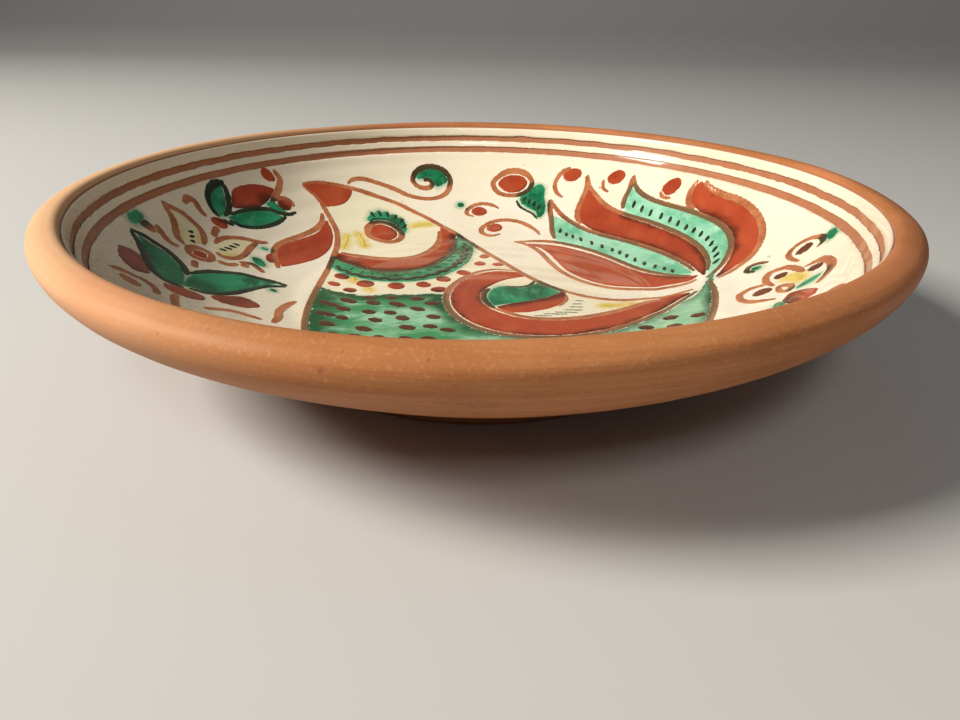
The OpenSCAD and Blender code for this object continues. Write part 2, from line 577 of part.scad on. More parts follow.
// ---- Dots, curls and the drop above the bird's back ----
dot_ring = [
    [5.1, 79.8], [6.2, 77], [8.6, 75.2], [12, 74.5], [15.8, 75], [18.4, 77], [18.9, 79.6], [17, 82.2],
    [13.6, 83.6], [9.8, 83.6], [6.6, 82]
];
curl_lines = [
    [[7, 68.6], [4.6, 70.3], [1.4, 70.9], [-1.8, 69.9], [-3.9, 67.4], [-3.7, 65], [-1.6, 64]],
    [[20.3, 51.2], [19.1, 54.6], [16.9, 57.8], [13.4, 60.6], [9, 61.8], [4.9, 60.9], [2.1, 58.4], [1, 55.4],
        [1.9, 52.6], [4.6, 51.4], [7.2, 52.6]],
    [[29.2, 70.6], [27.4, 73], [26.9, 76], [28, 78.6], [30.2, 80.1], [32.6, 80.4]],
    [[44.4, 67.4], [43, 69.8], [43.4, 72.4]],
    [[62.4, 53.9], [60.6, 55.8], [60, 58.2]]
];
module top_curls() {
    color(line_brown) coat() {
        loop_stroke(dot_ring);
        strokes([curl_lines[0], curl_lines[2]], curl_w);
        stroke(curl_lines[1]);
        strokes([curl_lines[3], curl_lines[4]], fine_w);
    }
}
module top_dots() {
    color(red) coat() difference() {
        union() {
            blob([[7.1, 79.8], [8.2, 77.5], [10.8, 76], [14, 75.9], [16.6, 77.3], [17.3, 79.4], [15.8, 81.5],
                [12.8, 82.4], [9.2, 82.1]]);
            ovals([[0.3, 66.9, 2.7, 2.5, 0], [5.5, 57, 3, 2.6, 70], [33.2, 78, 3.2, 2, -12],
                [47.6, 71.2, 3, 2.1, -20], [63.4, 57.5, 3, 2.5, -20]]);
        }
        loop_stroke(dot_ring, grow = clear);
        strokes(curl_lines, curl_w, grow = clear);
        stroke(curl_lines[1], grow = clear);
    }
}
drop_line = [[13.4, 72], [14.2, 69.2], [16.4, 66.8], [18.7, 64.6], [20, 61.4]];
module green_drop() {
    color(green) coat() difference() {
        blob([[15, 73.2], [17.4, 75], [19.6, 76.6], [21.8, 77.2], [23, 75.4], [22.7, 71.4], [22.9, 67.2],
            [21.8, 63.4], [20.4, 62.6], [20.2, 65.4], [17.8, 67.8], [15.6, 70]]);
        loop_stroke(dot_ring, grow = clear);
        stroke(drop_line, fine_w, grow = clear);
    }
}
module drop_marks() {
    color(dark_green) {
        coat() stroke(drop_line, fine_w);
        coat(1) ovals([[16.2, 72.2, tick_l, tick_w, 70], [17.8, 70.8, tick_l, tick_w, 72],
            [19.4, 69.3, tick_l, tick_w, 74], [20.9, 67.4, tick_l, tick_w, 76]]);
    }
}

// ---- The flower and bud on the right ----
module flower_contours() {
    color(line_brown) coat() {
        strokes([
            [[70.3, -22.6], [67, -19.4], [65.2, -15.4], [66.1, -11.8], [69, -10.4], [71.6, -11.6]],
            [[73, -14], [72.8, -9.4], [75, -5.7], [78, -7], [79.2, -10.6], [79.4, -14.6]],
            [[81, -12.4], [83.2, -14], [83.6, -18], [82, -22.4], [78.2, -25.4]],
            [[71.8, -32.4], [71.3, -35], [70.9, -38]]
        ], curl_w);
        loop_stroke([[73.9, -15.8], [72.8, -18.6], [74, -21], [75.3, -18.6]], fine_w);
        strokes([
            [[76.6, 0.8], [74.8, 2.7], [72.5, 2.5], [71.4, 0.6], [72.6, -1.4]],
            [[80.9, -7.4], [80.3, -3.8], [81, -0.8], [83.2, 0.7], [85.6, -0.6], [87, -3.2], [86.9, -5.8],
                [85.2, -6.9]]
        ], fine_w);
    }
}
module flower_dots() {
    color(dark_red) coat() ovals([
        [70.1, -15.2, 2.1, 1.8, 0], [76, -10.1, 1.5, 1.3, -60], [81.4, -16, 1.7, 1.2, -70],
        [83.6, -3.4, 1.7, 1.6, 0]
    ]);
}
module right_bud() {
    color(red) coat() {
        petal([
            [[73.4, -23.2], [75.4, -25.4], [76.5, -28.6], [75.2, -31]],
            [[75.2, -31], [72.6, -31.2], [71.2, -28.6], [71.4, -25.6], [73.4, -23.2]]
        ]);
        petal([
            [[74.4, -36.2], [76.6, -35.2], [78, -37], [76.4, -40.4], [73, -42]],
            [[73, -42], [73.2, -39], [74.4, -36.2]]
        ]);
        ovals([[67.2, -39.6, 2.8, 1.7, 60]]);
    }
}

// ---- The bud on the left ----
module bud_petal() {
    color(red) coat() {
        petal([
            [[-66.2, 51.8], [-70, 49.6], [-73.6, 45.4], [-75.4, 40.6], [-74, 35.6]],
            [[-74, 35.6], [-71.4, 38.6], [-68.6, 42], [-67.2, 46], [-66.2, 51.8]]
        ]);
        ovals([[-68.3, 55.2, 1.8, 1.2, 25], [-62, 48.4, 2, 1.6, 60], [-75.3, 24.8, 1.9, 1.8, 60]]);
    }
}
bud_lines = [
    [[-78.1, 41.4], [-80.1, 37.4], [-80.5, 33], [-78.8, 29.4], [-76, 27.4]],
    [[-77.8, 41], [-76, 37.2], [-74.9, 33.4], [-75, 29.2]],
    [[-73.8, 31.4], [-72, 35.6], [-69.2, 39.6], [-66, 42.8], [-62.4, 44], [-59.8, 45.4], [-58.4, 47.8]],
    [[-60.6, 43.4], [-62, 39], [-64.6, 34.4], [-67.8, 30.8], [-71, 29], [-73.6, 28.8]]
];
module bud_contours() {
    color(dark_green) coat() {
        strokes(bud_lines);
        ovals([[-73.6, 27.2, 1.6, 0.8, 10]]);
    }
}
module bud_leaves() {
    color(green) coat() difference() {
        union() {
            petal([
                [[-78.4, 39], [-76.4, 34.4], [-75.8, 28.4]],
                [[-75.8, 28.4], [-79.2, 31.4], [-79.4, 36], [-78.4, 39]]
            ]);
            petal([
                [[-73.8, 29.8], [-71.6, 34.4], [-68.4, 38.8], [-65, 42], [-61.8, 42.6]],
                [[-61.8, 42.6], [-63.6, 37.6], [-66.4, 33.4], [-70, 30.2], [-73.8, 29.8]]
            ]);
            blob([[-66.4, 44.6], [-65.4, 46.8], [-63.8, 46.4], [-61.4, 45.6], [-63.4, 44.4]]);
        }
        strokes(bud_lines, grow = clear);
    }
}
module bud_stem() {
    color(line_brown) coat() {
        strokes([
            [[-65.6, 46.4], [-65.2, 50.4], [-64.8, 54.4], [-65.2, 57.2], [-67, 57.9]],
            [[-64.4, 48.6], [-63.4, 50.6], [-61.4, 51.2], [-59.6, 49.8]],
            [[-75.2, 22], [-75.1, 19.6], [-74.7, 17.2]],
            [[-83.8, 22.8], [-83.7, 25.4], [-82.4, 26.6], [-80.6, 25], [-78.8, 24.2]],
            [[-74, -0.6], [-73.6, -2.4], [-73, -4.2]]
        ], curl_w);
    }
}

// ---- The star flower on the left ----
star_lines = [
    [[-75.4, 10.4], [-76.6, 14.6], [-79, 17.4], [-82.2, 18.4], [-84.8, 17.4], [-87, 15.6]],
    [[-86.6, 15.6], [-84, 13.4], [-82.2, 10], [-80.8, 6.9], [-78.8, 5]],
    [[-73.4, 14], [-73.2, 17], [-71.3, 20.6], [-68, 23.2], [-65, 24.4], [-62.4, 26.2]],
    [[-64.9, 23.8], [-65.6, 20], [-65.8, 15], [-67, 10.8], [-69.8, 8.6], [-71.6, 9.2]],
    [[-66, 7.6], [-66.8, 6], [-68.6, 5], [-70, 5]]
];
star_ring = [
    [-77.2, 4.3], [-76.4, 2.2], [-74.4, 1.4], [-72.4, 2.2], [-71.6, 4.4], [-72.4, 6.7], [-74.4, 7.5], [-76.4, 6.7]
];
module star_contours() {
    color(line_brown) coat() {
        strokes(star_lines, curl_w);
        loop_stroke(star_ring, curl_w);
    }
}
module star_petals() {
    color(pale_yellow) coat() difference() {
        union() {
            petal([
                [[-76.4, 10], [-77.2, 13.8], [-79.6, 16.8], [-85.6, 16]],
                [[-85.6, 16], [-82.4, 12], [-80, 7.4], [-78.2, 6.6], [-76.4, 10]]
            ]);
            petal([
                [[-73, 10.4], [-72.6, 15.4], [-70.4, 19.8], [-65.6, 23.4]],
                [[-65.6, 23.4], [-66.4, 16.4], [-68.4, 10.6], [-73, 10.4]]
            ]);
        }
        strokes(star_lines, curl_w, grow = clear);
        loop_stroke(star_ring, curl_w, grow = clear);
    }
}
module star_ticks() {
    color(dark_green) coat(1) ovals([
        [-79.3, 12.8, 0.9, 0.5, 60], [-78.4, 10.9, 1, 0.5, 70], [-77.6, 8.9, 0.8, 0.5, 70], [-68.9, 18.2, 1, 0.5, 20],
        [-69.5, 16.2, 1.1, 0.5, 25], [-70.1, 14.2, 1.1, 0.5, 25], [-70.9, 12.2, 1, 0.5, 20]
    ]);
}
module star_centre() { color(red) coat() ovals([[-74.4, 4.4, 1.8, 1.7, 90]]); }

// ---- The double leaf, petals and curls at the lower left ----
leaf_lines = [
    [[-87, -5.4], [-84, -3.2], [-80.4, -3], [-76.8, -4.8], [-74.2, -7.6], [-72.6, -10.8]],
    [[-86.6, -6], [-83.4, -9.4], [-80.2, -14.4], [-77.4, -18.2], [-74.4, -19.7], [-70.6, -19]],
    [[-72.5, -9.3], [-69.8, -3.2], [-66, 0.6], [-61.6, 2.6], [-56.6, 2.7], [-51.2, 1.6]],
    [[-51.4, 0.6], [-55.2, -1.2], [-58, -4.4], [-60.2, -8.8], [-62.2, -12.8], [-65.8, -16.2], [-69.4, -18.4]]
];
module leaf_contours() { color(dark_green) coat() strokes(leaf_lines); }
module double_leaf() {
    color(green) coat() difference() {
        union() {
            petal([
                [[-85, -5.4], [-80.6, -4.6], [-76.6, -7], [-73.4, -11.4], [-71.4, -18.2]],
                [[-71.4, -18.2], [-75.6, -18.4], [-78.8, -14.8], [-81.6, -10], [-85, -5.4]]
            ]);
            petal([
                [[-71.6, -12.4], [-70.8, -6.8], [-67, -1.4], [-62, 1.4], [-54.6, 1.2]],
                [[-54.6, 1.2], [-58.6, -3.4], [-61.2, -8.6], [-64.2, -13.4], [-70.6, -17.6]],
                [[-70.6, -17.6], [-71.6, -12.4]]
            ]);
        }
        strokes(leaf_lines, grow = clear);
    }
}
module lower_petals() {
    color(dark_red) coat() difference() {
        union() {
            blob([[-64.6, -17.4], [-61.6, -14.4], [-58.4, -12.2], [-54.6, -14.6], [-54, -16.8], [-57.4, -19],
                [-62, -19.8]]);
            blob([[-69, -19.6], [-66, -19.6], [-65.2, -22], [-68, -24.7], [-72, -24.4], [-73.6, -22],
                [-72, -20.6]]);
            blob([[-84.8, -16.2], [-82, -14], [-79.6, -17], [-77.2, -21], [-79.4, -23.8], [-82.2, -22.6],
                [-84, -19.4]]);
        }
        strokes(leaf_lines, grow = clear);
    }
}
module left_curls() {
    color(line_brown) coat() {
        strokes([
            [[-84.8, 5.2], [-82.6, 3], [-80.6, 1.8], [-79, 2.2]],
            [[-65.6, 9], [-62.8, 10.2], [-60.6, 8.8], [-59, 7.4]],
            [[-69.8, -25.6], [-69.2, -28], [-68, -31], [-65.6, -36]],
            [[-80.4, -31.6], [-79, -28.2], [-76, -26.8], [-73, -28.4], [-71.8, -31.2]],
            [[-63.2, -27], [-60, -24.4], [-56, -23.2], [-51.2, -24.4]]
        ], curl_w);
        stroke([[-46.8, -8.6], [-48.2, -12], [-48.8, -17], [-48, -21], [-48, -25.4]]);
    }
    color(dark_red) coat() ovals([[-86, 1.9, 1.7, 1.7, 0], [-64, 7.8, 1, 0.8, 0], [-76.6, -31.8, 1.8, 1.8, 0]]);
}

// ---- Loose strokes of thin yellow and green ----
module yellow_strokes() {
    color(yellow) coat() difference() {
        union() {
            strokes([
                [[-22.6, 55], [-19.4, 57], [-15.4, 58.2]],
                [[-41.8, 43.8], [-41.4, 39], [-41.4, 34.6]],
                [[-38.6, 46], [-36.6, 41.6], [-35.4, 37.4]],
                [[-35.6, 13.2], [-34.6, 11], [-34.4, 8.6]],
                [[-30, 3.8], [-28.8, 1.6]],
                [[32.5, -7.4], [36.5, -6.4], [41, -5.6]]
            ], fine_w);
            stroke([[76.6, -12.6], [77.6, -15.4], [77.4, -18.8]], line_w);
        }
        bird_contours(grow = clear);
    }
}
module green_smears() {
    color(green) coat() ovals([
        [-6.2, 70, 0.9, 0.8, 0], [-88.2, 1.2, 3.2, 0.7, 89], [-62.2, 22, 0.8, 0.6, 0], [-61.6, 13, 2.4, 1.2, -50],
        [73.6, 0.3, 0.9, 0.8, 0], [88.2, -6.4, 1.8, 0.6, 85], [69.4, -27.8, 2, 0.9, 70],
        [77.8, -21.6, 2.4, 0.7, 12], [-53.6, -3.4, 0.9, 0.5, -40]
    ]);
}

// ---- Under the bird: legs, and a garland along the near side ----
module bird_legs() {
    color(red) coat() strokes([
        [[-9, -56.6], [-9.8, -61], [-11.4, -65]], [[-16.6, -66.4], [-11.6, -66.2], [-6.4, -67.4]],
        [[9, -57], [9.4, -61], [8.6, -65]], [[3.4, -67.2], [8.8, -66.4], [13.8, -67.8]]
    ]);
}
function mirrored(list) = [for (p = list) [for (q = p) [-q[0], q[1]]]];
garland_lines = [
    [[-61, -41], [-58.6, -48], [-53, -55], [-45, -60], [-34, -62.6]],
    [[-61.2, -42.4], [-64.2, -49.4], [-62, -56.4], [-55, -60.4], [-46, -62], [-35, -63.6]],
    [[-33, -63.8], [-28, -70.6], [-20, -75.4], [-8, -77.6]],
    [[-33, -64.8], [-33.6, -71.4], [-28, -77.6], [-18, -80], [-8, -78.8]]
];
module garland_stems() {
    color(line_brown) coat() {
        strokes(garland_lines);
        strokes(mirrored(garland_lines));
    }
}
module garland_leaves() {
    halves = [
        [[[-60.6, -44], [-57.6, -50], [-52, -56], [-44.6, -60.4], [-38, -61.8]],
            [[-38, -61.8], [-47, -60.8], [-55, -59], [-61, -55], [-62.8, -49.6], [-60.6, -44]]],
        [[[-32.2, -66.6], [-27, -72], [-19.4, -76.4], [-10, -78]],
            [[-10, -78], [-18.4, -78.8], [-27, -76.4], [-32, -71], [-32.2, -66.6]]]
    ];
    color(green) coat() difference() {
        union() for (h = halves) {
            petal(h);
            petal(mirrored(h));
        }
        strokes(garland_lines, grow = clear);
        strokes(mirrored(garland_lines), grow = clear);
    }
}
module garland_petals() {
    half = [[[-4.6, -75.4], [-5.6, -79], [-3.4, -82.6], [0, -84.4]], [[0, -84.4], [0.4, -80], [-1.4, -76.6],
        [-4.6, -75.4]]];
    beads = [for (a = [228:14:312]) if (abs(a - 270) > 10) concat(polar(84, a), [2, 1.7, a])];
    drops = [for (s = [-1, 1], i = [0:3]) concat(polar(72 - 3.2 * i, 270 + s * (56 - 10 * i)), [2.6, 1.4, 60 * s])];
    color(red) coat() difference() {
        union() {
            petal(half);
            petal([for (p = half) [for (q = p) [0.9 - q[0], q[1]]]]);
            ovals(concat(beads, [for (d = drops) if (norm([d[0], d[1]]) > 70) d]));
        }
        strokes(garland_lines, grow = clear);
        strokes(mirrored(garland_lines), grow = clear);
    }
}

clay_body();
rim_slip_ring();
middle_slip_ring();
field_slip();
bird_contour();
beak();
crest_line();
crest_curl();
eye_ring();
eye_iris();
eye_lashes();
lash_ticks();
wattle();
wattle_contour();
red_collar();
collar_contour();
green_collar();
collar_scallops();
collar_ticks();
breast_dots();
belly_wash();
belly_dashes();
wing_contour();
wing_red();
wing_leaf();
wing_feather();
wing_hatching();
tail_contours();
tail_feather_1();
tail_feather_2();
tail_feather_3();
tail_feather_4();
tail_feather_5();
tail_ticks();
top_dots();
top_curls();
green_drop();
drop_marks();
flower_contours();
flower_dots();
right_bud();
bud_petal();
bud_leaves();
bud_contours();
bud_stem();
star_contours();
star_petals();
star_ticks();
star_centre();
double_leaf();
leaf_contours();
lower_petals();
left_curls();
yellow_strokes();
green_smears();
bird_legs();
garland_leaves();
garland_petals();
garland_stems();
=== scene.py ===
import math
import bpy
import numpy as np
from mathutils import Matrix, Vector


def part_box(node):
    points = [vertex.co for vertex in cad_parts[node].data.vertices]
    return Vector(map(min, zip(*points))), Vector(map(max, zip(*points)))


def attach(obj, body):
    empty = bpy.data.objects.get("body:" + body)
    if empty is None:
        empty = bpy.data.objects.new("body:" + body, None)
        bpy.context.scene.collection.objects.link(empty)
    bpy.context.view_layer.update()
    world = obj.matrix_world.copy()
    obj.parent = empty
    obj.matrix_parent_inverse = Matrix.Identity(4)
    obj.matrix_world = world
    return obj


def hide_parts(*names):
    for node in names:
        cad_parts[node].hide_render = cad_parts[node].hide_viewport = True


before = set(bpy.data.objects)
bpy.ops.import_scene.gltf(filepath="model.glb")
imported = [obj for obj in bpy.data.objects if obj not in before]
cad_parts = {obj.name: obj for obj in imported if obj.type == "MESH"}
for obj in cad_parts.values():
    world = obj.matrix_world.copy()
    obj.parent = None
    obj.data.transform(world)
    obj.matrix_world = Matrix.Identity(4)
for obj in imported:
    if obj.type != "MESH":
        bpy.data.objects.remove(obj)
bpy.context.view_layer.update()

MM = 0.001

# ---- Camera ----
# A close, low view from the near side of the plate: the eye is a little under two plate radii
# from the middle, and looks down over the near lip into the dish. Places are in plate radii.
body_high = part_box("clay_body")[1]
lip_radius = body_high.x
crest_height = body_high.z
widest_height = crest_height - 3.4 * MM
eye_back, eye_up = 1.864, 0.431
aim_right, aim_back = 0.005, 0.973
roll = 0.016
camera_data = bpy.data.cameras.new("camera")
camera_data.sensor_width = 36.0
camera_data.lens = 27.75
camera_data.clip_start = 0.005
camera = bpy.data.objects.new("camera", camera_data)
bpy.context.scene.collection.objects.link(camera)
eye = Vector((0, -eye_back * lip_radius, eye_up * lip_radius + widest_height))
aim = Vector((aim_right * lip_radius, -aim_back * lip_radius, widest_height))
gaze = (aim - eye).to_track_quat("-Z", "Y").to_matrix().to_4x4()
camera.matrix_world = Matrix.Translation(eye) @ gaze @ Matrix.Rotation(roll, 4, "Z")
bpy.context.scene.camera = camera


# ---- Clay body ----
# One piece of brick-coloured earthenware, thrown on a wheel and turned. The wall sweeps up to
# a thick rounded lip that is left bare, and the outside keeps the fine rings of turning.
def corners_of(node):
    """The triangles of a CAD node as an array of shape (faces, 3 corners, xyz), in metres."""
    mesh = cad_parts[node].data
    place = np.empty(len(mesh.vertices) * 3)
    mesh.vertices.foreach_get("co", place)
    mesh.calc_loop_triangles()
    index = np.empty(len(mesh.loop_triangles) * 3, int)
    mesh.loop_triangles.foreach_get("vertices", index)
    return place.reshape(-1, 3)[index].reshape(-1, 3, 3)


def facing(triangles, up=True):
    """The triangles whose normal, the cross product of two sides, leans up (or down)."""
    normal = np.cross(triangles[:, 1] - triangles[:, 0], triangles[:, 2] - triangles[:, 0])
    lean = normal[:, 2] / np.maximum(np.linalg.norm(normal, axis=1), 1e-15)
    return triangles[lean > 0.01] if up else triangles[lean < -0.01]


def rings_of(triangles):
    """Distance from the axis and height of each circle of a turned surface, from the axis out."""
    points = triangles.reshape(-1, 3)
    rings = np.column_stack([np.hypot(points[:, 0], points[:, 1]), points[:, 2]])
    step = 0.02
    rings = np.unique(np.round(rings / (step * MM)).astype(int), axis=0) * step * MM
    apart = np.concatenate([[True], np.linalg.norm(np.diff(rings, axis=0), axis=1) > 0.1 * MM])
    return rings[apart]


def flowing(points, count):
    """A smooth curve through points: a cubic Hermite span between each two, with slopes from the
    neighbours either side over the distance along the curve, sampled at even distances."""
    along = np.concatenate([[0], np.cumsum(np.linalg.norm(np.diff(points, axis=0), axis=1))])
    slopes = np.gradient(points, along, axis=0)
    place = np.linspace(0, along[-1], count)
    span = np.clip(np.searchsorted(along, place, side="right") - 1, 0, len(points) - 2)
    width = (along[span + 1] - along[span])[:, None]
    t = (place - along[span])[:, None] / width
    start, end = points[span], points[span + 1]
    start_slope, end_slope = slopes[span] * width, slopes[span + 1] * width
    return (
        (2 * t**3 - 3 * t**2 + 1) * start + (t**3 - 2 * t**2 + t) * start_slope
        + (3 * t**2 - 2 * t**3) * end + (t**3 - t**2) * end_slope
    )


def ripple(x, y, wave, seed, parts=7):
    """Smooth noise between about -1 and 1: the mean of sines of about one wavelength that run in
    seeded directions with seeded phases."""
    draw = np.random.default_rng(seed)
    total = np.zeros(np.broadcast(x, y).shape)
    for turn, phase, stretch in draw.uniform(0, 1, (parts, 3)):
        k = math.tau / (wave * (0.6 + 0.9 * stretch))
        along = x * math.cos(math.tau * turn) + y * math.sin(math.tau * turn)
        total += np.sin(k * along + 9 * phase)
    return total / math.sqrt(parts)


SAG = 1.9 * MM
SAG_TOWARDS = math.radians(-112)
SAG_SPREAD = math.radians(32)
SAG_FROM = 18 * MM
SAG_OVER = 19 * MM


def sag(x, y, z):
    """How far a thrown rim has settled: down by SAG on the near left side, as a bell over the
    angle round the plate, fading out down the wall by a smooth step of height."""
    turn = (np.arctan2(y, x) - SAG_TOWARDS + math.pi) % math.tau - math.pi
    share = np.clip((z - SAG_FROM) / SAG_OVER, 0, 1)
    return -SAG * np.exp(-0.5 * (turn / SAG_SPREAD) ** 2) * share**2 * (3 - 2 * share)


def settled(points):
    """Points moved down by the sag of the rim."""
    x, y, z = points[:, 0], points[:, 1], points[:, 2]
    return np.column_stack([x, y, z + sag(x, y, z)])


def built(name, points, faces, replaced):
    """A smooth shaded mesh object from points and faces, riding on the one body."""
    mesh = bpy.data.meshes.new(name)
    mesh.from_pydata(points.tolist(), [], faces)
    mesh.polygons.foreach_set("use_smooth", np.ones(len(mesh.polygons), bool))
    mesh.update()
    piece = bpy.data.objects.new(name, mesh)
    bpy.context.scene.collection.objects.link(piece)
    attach(piece, "root")
    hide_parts(*replaced)
    return piece


def kept(piece, name, values):
    """Stores one number for each vertex, for the material to read."""
    layer = piece.data.attributes.new(name, "FLOAT", "POINT")
    layer.data.foreach_set("value", values.astype(np.float32))


def turned(profile, columns, wobble):
    """A closed turned surface. The profile runs from the axis inside, over the lip and down the
    outside, to the axis below; each of its points becomes a ring, and wobble(angle, step) moves
    it out along the profile's normal. Each end closes in a fan of triangles."""
    angle = np.linspace(0, math.tau, columns, endpoint=False)
    inner = profile[1:-1]
    step = np.arange(len(inner))
    slope = np.gradient(inner, axis=0)
    normal = np.column_stack([-slope[:, 1], slope[:, 0]])
    normal /= np.linalg.norm(normal, axis=1)[:, None]
    shift = wobble(angle[None, :], step[:, None])
    radius = inner[:, 0][:, None] + normal[:, 0][:, None] * shift
    height = inner[:, 1][:, None] + normal[:, 1][:, None] * shift
    ring = np.stack([radius * np.cos(angle), radius * np.sin(angle), height], axis=-1)
    ends = [[0, 0, profile[0, 1]], [0, 0, profile[-1, 1]]]
    points = np.vstack([ring.reshape(-1, 3), ends])
    row, column = np.meshgrid(np.arange(len(inner) - 1), np.arange(columns), indexing="ij")
    after = (column + 1) % columns
    sides = np.stack([
        row * columns + column, (row + 1) * columns + column,
        (row + 1) * columns + after, row * columns + after,
    ], axis=-1).reshape(-1, 4)
    around = np.arange(columns)
    ahead = (around + 1) % columns
    last = (len(inner) - 1) * columns
    top = np.column_stack([np.full(columns, len(points) - 2), around, ahead])
    below = np.column_stack([last + around, np.full(columns, len(points) - 1), last + ahead])
    return settled(points), sides.tolist() + top.tolist() + below.tolist()


class Value:
    """A number that varies over a surface: it wraps a shader socket, and arithmetic on it adds
    the Math nodes that work it out."""

    def __init__(self, finish, socket):
        self.finish = finish
        self.socket = socket

    def math(self, operation, *others):
        """A Math node with this value first and the others after it."""
        node = self.finish.tree.nodes.new("ShaderNodeMath")
        node.operation = operation
        for place, value in enumerate([self, *others]):
            self.finish.fill(node.inputs[place], value)
        return Value(self.finish, node.outputs[0])

    def __add__(self, other):
        return self.math("ADD", other)

    def __radd__(self, other):
        return self.math("ADD", other)

    def __sub__(self, other):
        return self.math("SUBTRACT", other)

    def __rsub__(self, other):
        return (self * -1).math("ADD", other)

    def __mul__(self, other):
        return self.math("MULTIPLY", other)

    def __rmul__(self, other):
        return self.math("MULTIPLY", other)

    def least(self, other):
        return self.math("MINIMUM", other)

    def most(self, other):
        return self.math("MAXIMUM", other)


class Finish:
    """A material and the nodes that make it, ending in one Principled shader."""

    def __init__(self, name):
        self.material = bpy.data.materials.new(name)
        self.material.use_nodes = True
        self.tree = self.material.node_tree
        self.shader = self.tree.nodes["Principled BSDF"]
        self.place = self.tree.nodes.new("ShaderNodeTexCoord").outputs["Object"]

    def fill(self, socket, value):
        """Sets a socket to a number or colour, or links a Value or another socket into it."""
        if isinstance(value, Value):
            self.tree.links.new(value.socket, socket)
        elif isinstance(value, bpy.types.NodeSocket):
            self.tree.links.new(value, socket)
        elif isinstance(value, tuple) and len(value) == 3 and socket.type == "RGBA":
            socket.default_value = (*value, 1)
        else:
            socket.default_value = value

    def node(self, kind, settings=(), output=0, **inputs):
        """Any other node: its settings first, then its sockets by name, with _ for a space."""
        node = self.tree.nodes.new(kind)
        for key, value in dict(settings).items():
            setattr(node, key, value)
        for key, value in inputs.items():
            self.fill(node.inputs[key.replace("_", " ")], value)
        return node.outputs[output]

    def noise(self, scale, detail=3.0, rough=0.55, stretch=(1, 1, 1)):
        """Noise about 0.5 on the piece's own coordinates, with scale in waves per metre."""
        at = self.node("ShaderNodeMapping", Vector=self.place, Scale=stretch)
        return Value(self, self.node(
            "ShaderNodeTexNoise", Vector=at, Scale=scale, Detail=detail, Roughness=rough))

    def attribute(self, name):
        """A number that the mesh keeps for each vertex."""
        return Value(self, self.node("ShaderNodeAttribute", {"attribute_name": name}, output=2))

    def ramp(self, value, low, high):
        """0 where value is at low, 1 at high, with a soft S between."""
        node = self.tree.nodes.new("ShaderNodeMapRange")
        node.interpolation_type = "SMOOTHSTEP"
        for place, number in enumerate((value, low, high, 0.0, 1.0)):
            self.fill(node.inputs[place], number)
        return Value(self, node.outputs[0])

    def blend(self, share, first, second):
        """The colour first where share is 0 and second where it is 1."""
        node = self.tree.nodes.new("ShaderNodeMix")
        node.data_type = "RGBA"
        self.fill(node.inputs["Factor"], share)
        self.fill(node.inputs[6], first)
        self.fill(node.inputs[7], second)
        return node.outputs[2]

    def distance_out(self):
        """Distance from the wheel's axis, in metres."""
        flat = self.node("ShaderNodeMapping", Vector=self.place, Scale=(1, 1, 0))
        length = {"operation": "LENGTH"}
        return Value(self, self.node("ShaderNodeVectorMath", length, 1, Vector=flat))

    def across(self):
        """Distance towards +X from the middle of the dish, in metres."""
        return Value(self, self.node("ShaderNodeSeparateXYZ", (), 0, Vector=self.place))

    def height(self):
        """Height above the floor, in metres."""
        return Value(self, self.node("ShaderNodeSeparateXYZ", (), 2, Vector=self.place))

    def glaze(self, weight=0.7, roughness=0.04):
        """Clear glaze over the colour: a smooth coat, under which the colour itself hardly
        reflects."""
        self.fill(self.shader.inputs["Coat Weight"], weight)
        self.fill(self.shader.inputs["Coat Roughness"], roughness)
        self.fill(self.shader.inputs["Coat IOR"], 1.4)
        self.fill(self.shader.inputs["Specular IOR Level"], 0.08)

    def done(self, colour, roughness, bump, depth, strength=1.0):
        """Feeds the shader: colour, roughness, and a bump of the given depth in metres."""
        self.fill(self.shader.inputs["Base Color"], colour)
        self.fill(self.shader.inputs["Roughness"], roughness)
        normal = self.node("ShaderNodeBump", Strength=strength, Distance=depth, Height=bump)
        self.fill(self.shader.inputs["Normal"], normal)
        return self.material


clay_inside = rings_of(facing(corners_of("clay_body")))
clay_under = rings_of(facing(corners_of("clay_body"), up=False))[::-1]
lining_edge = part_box("rim_slip_ring")[1].x
edge_slack = 0.05 * MM
foot_height = 4.5 * MM
under_lining = clay_inside[clay_inside[:, 0] < lining_edge + edge_slack]
over_lip = clay_inside[clay_inside[:, 0] > lining_edge - edge_slack]
foot_turn = clay_under[:, 1] < foot_height
outer_wall = clay_under[~foot_turn][1:]
foot = clay_under[foot_turn]
LINED_ROWS = 70
WALL_ROWS = 130
STEP_ROWS = 4
FOOT_ROWS = 6
clay_profile = np.vstack([
    flowing(under_lining, LINED_ROWS)[:-1],
    flowing(np.vstack([over_lip, outer_wall]), WALL_ROWS)[:-1],
    flowing(np.vstack([outer_wall[-1:], foot[:1]]), STEP_ROWS)[:-1],
    np.vstack([np.linspace(a, b, FOOT_ROWS, endpoint=False) for a, b in zip(foot[:-1], foot[1:])]),
    foot[-1:],
])
clay_profile = np.vstack([[[0, clay_profile[0, 1]]], clay_profile, [[0, clay_profile[-1, 1]]]])


RING_DEPTH = 0.02 * MM
WAVER = 0.10 * MM
DENT_DEPTH = 0.30 * MM
TRUE_BELOW = 8 * MM


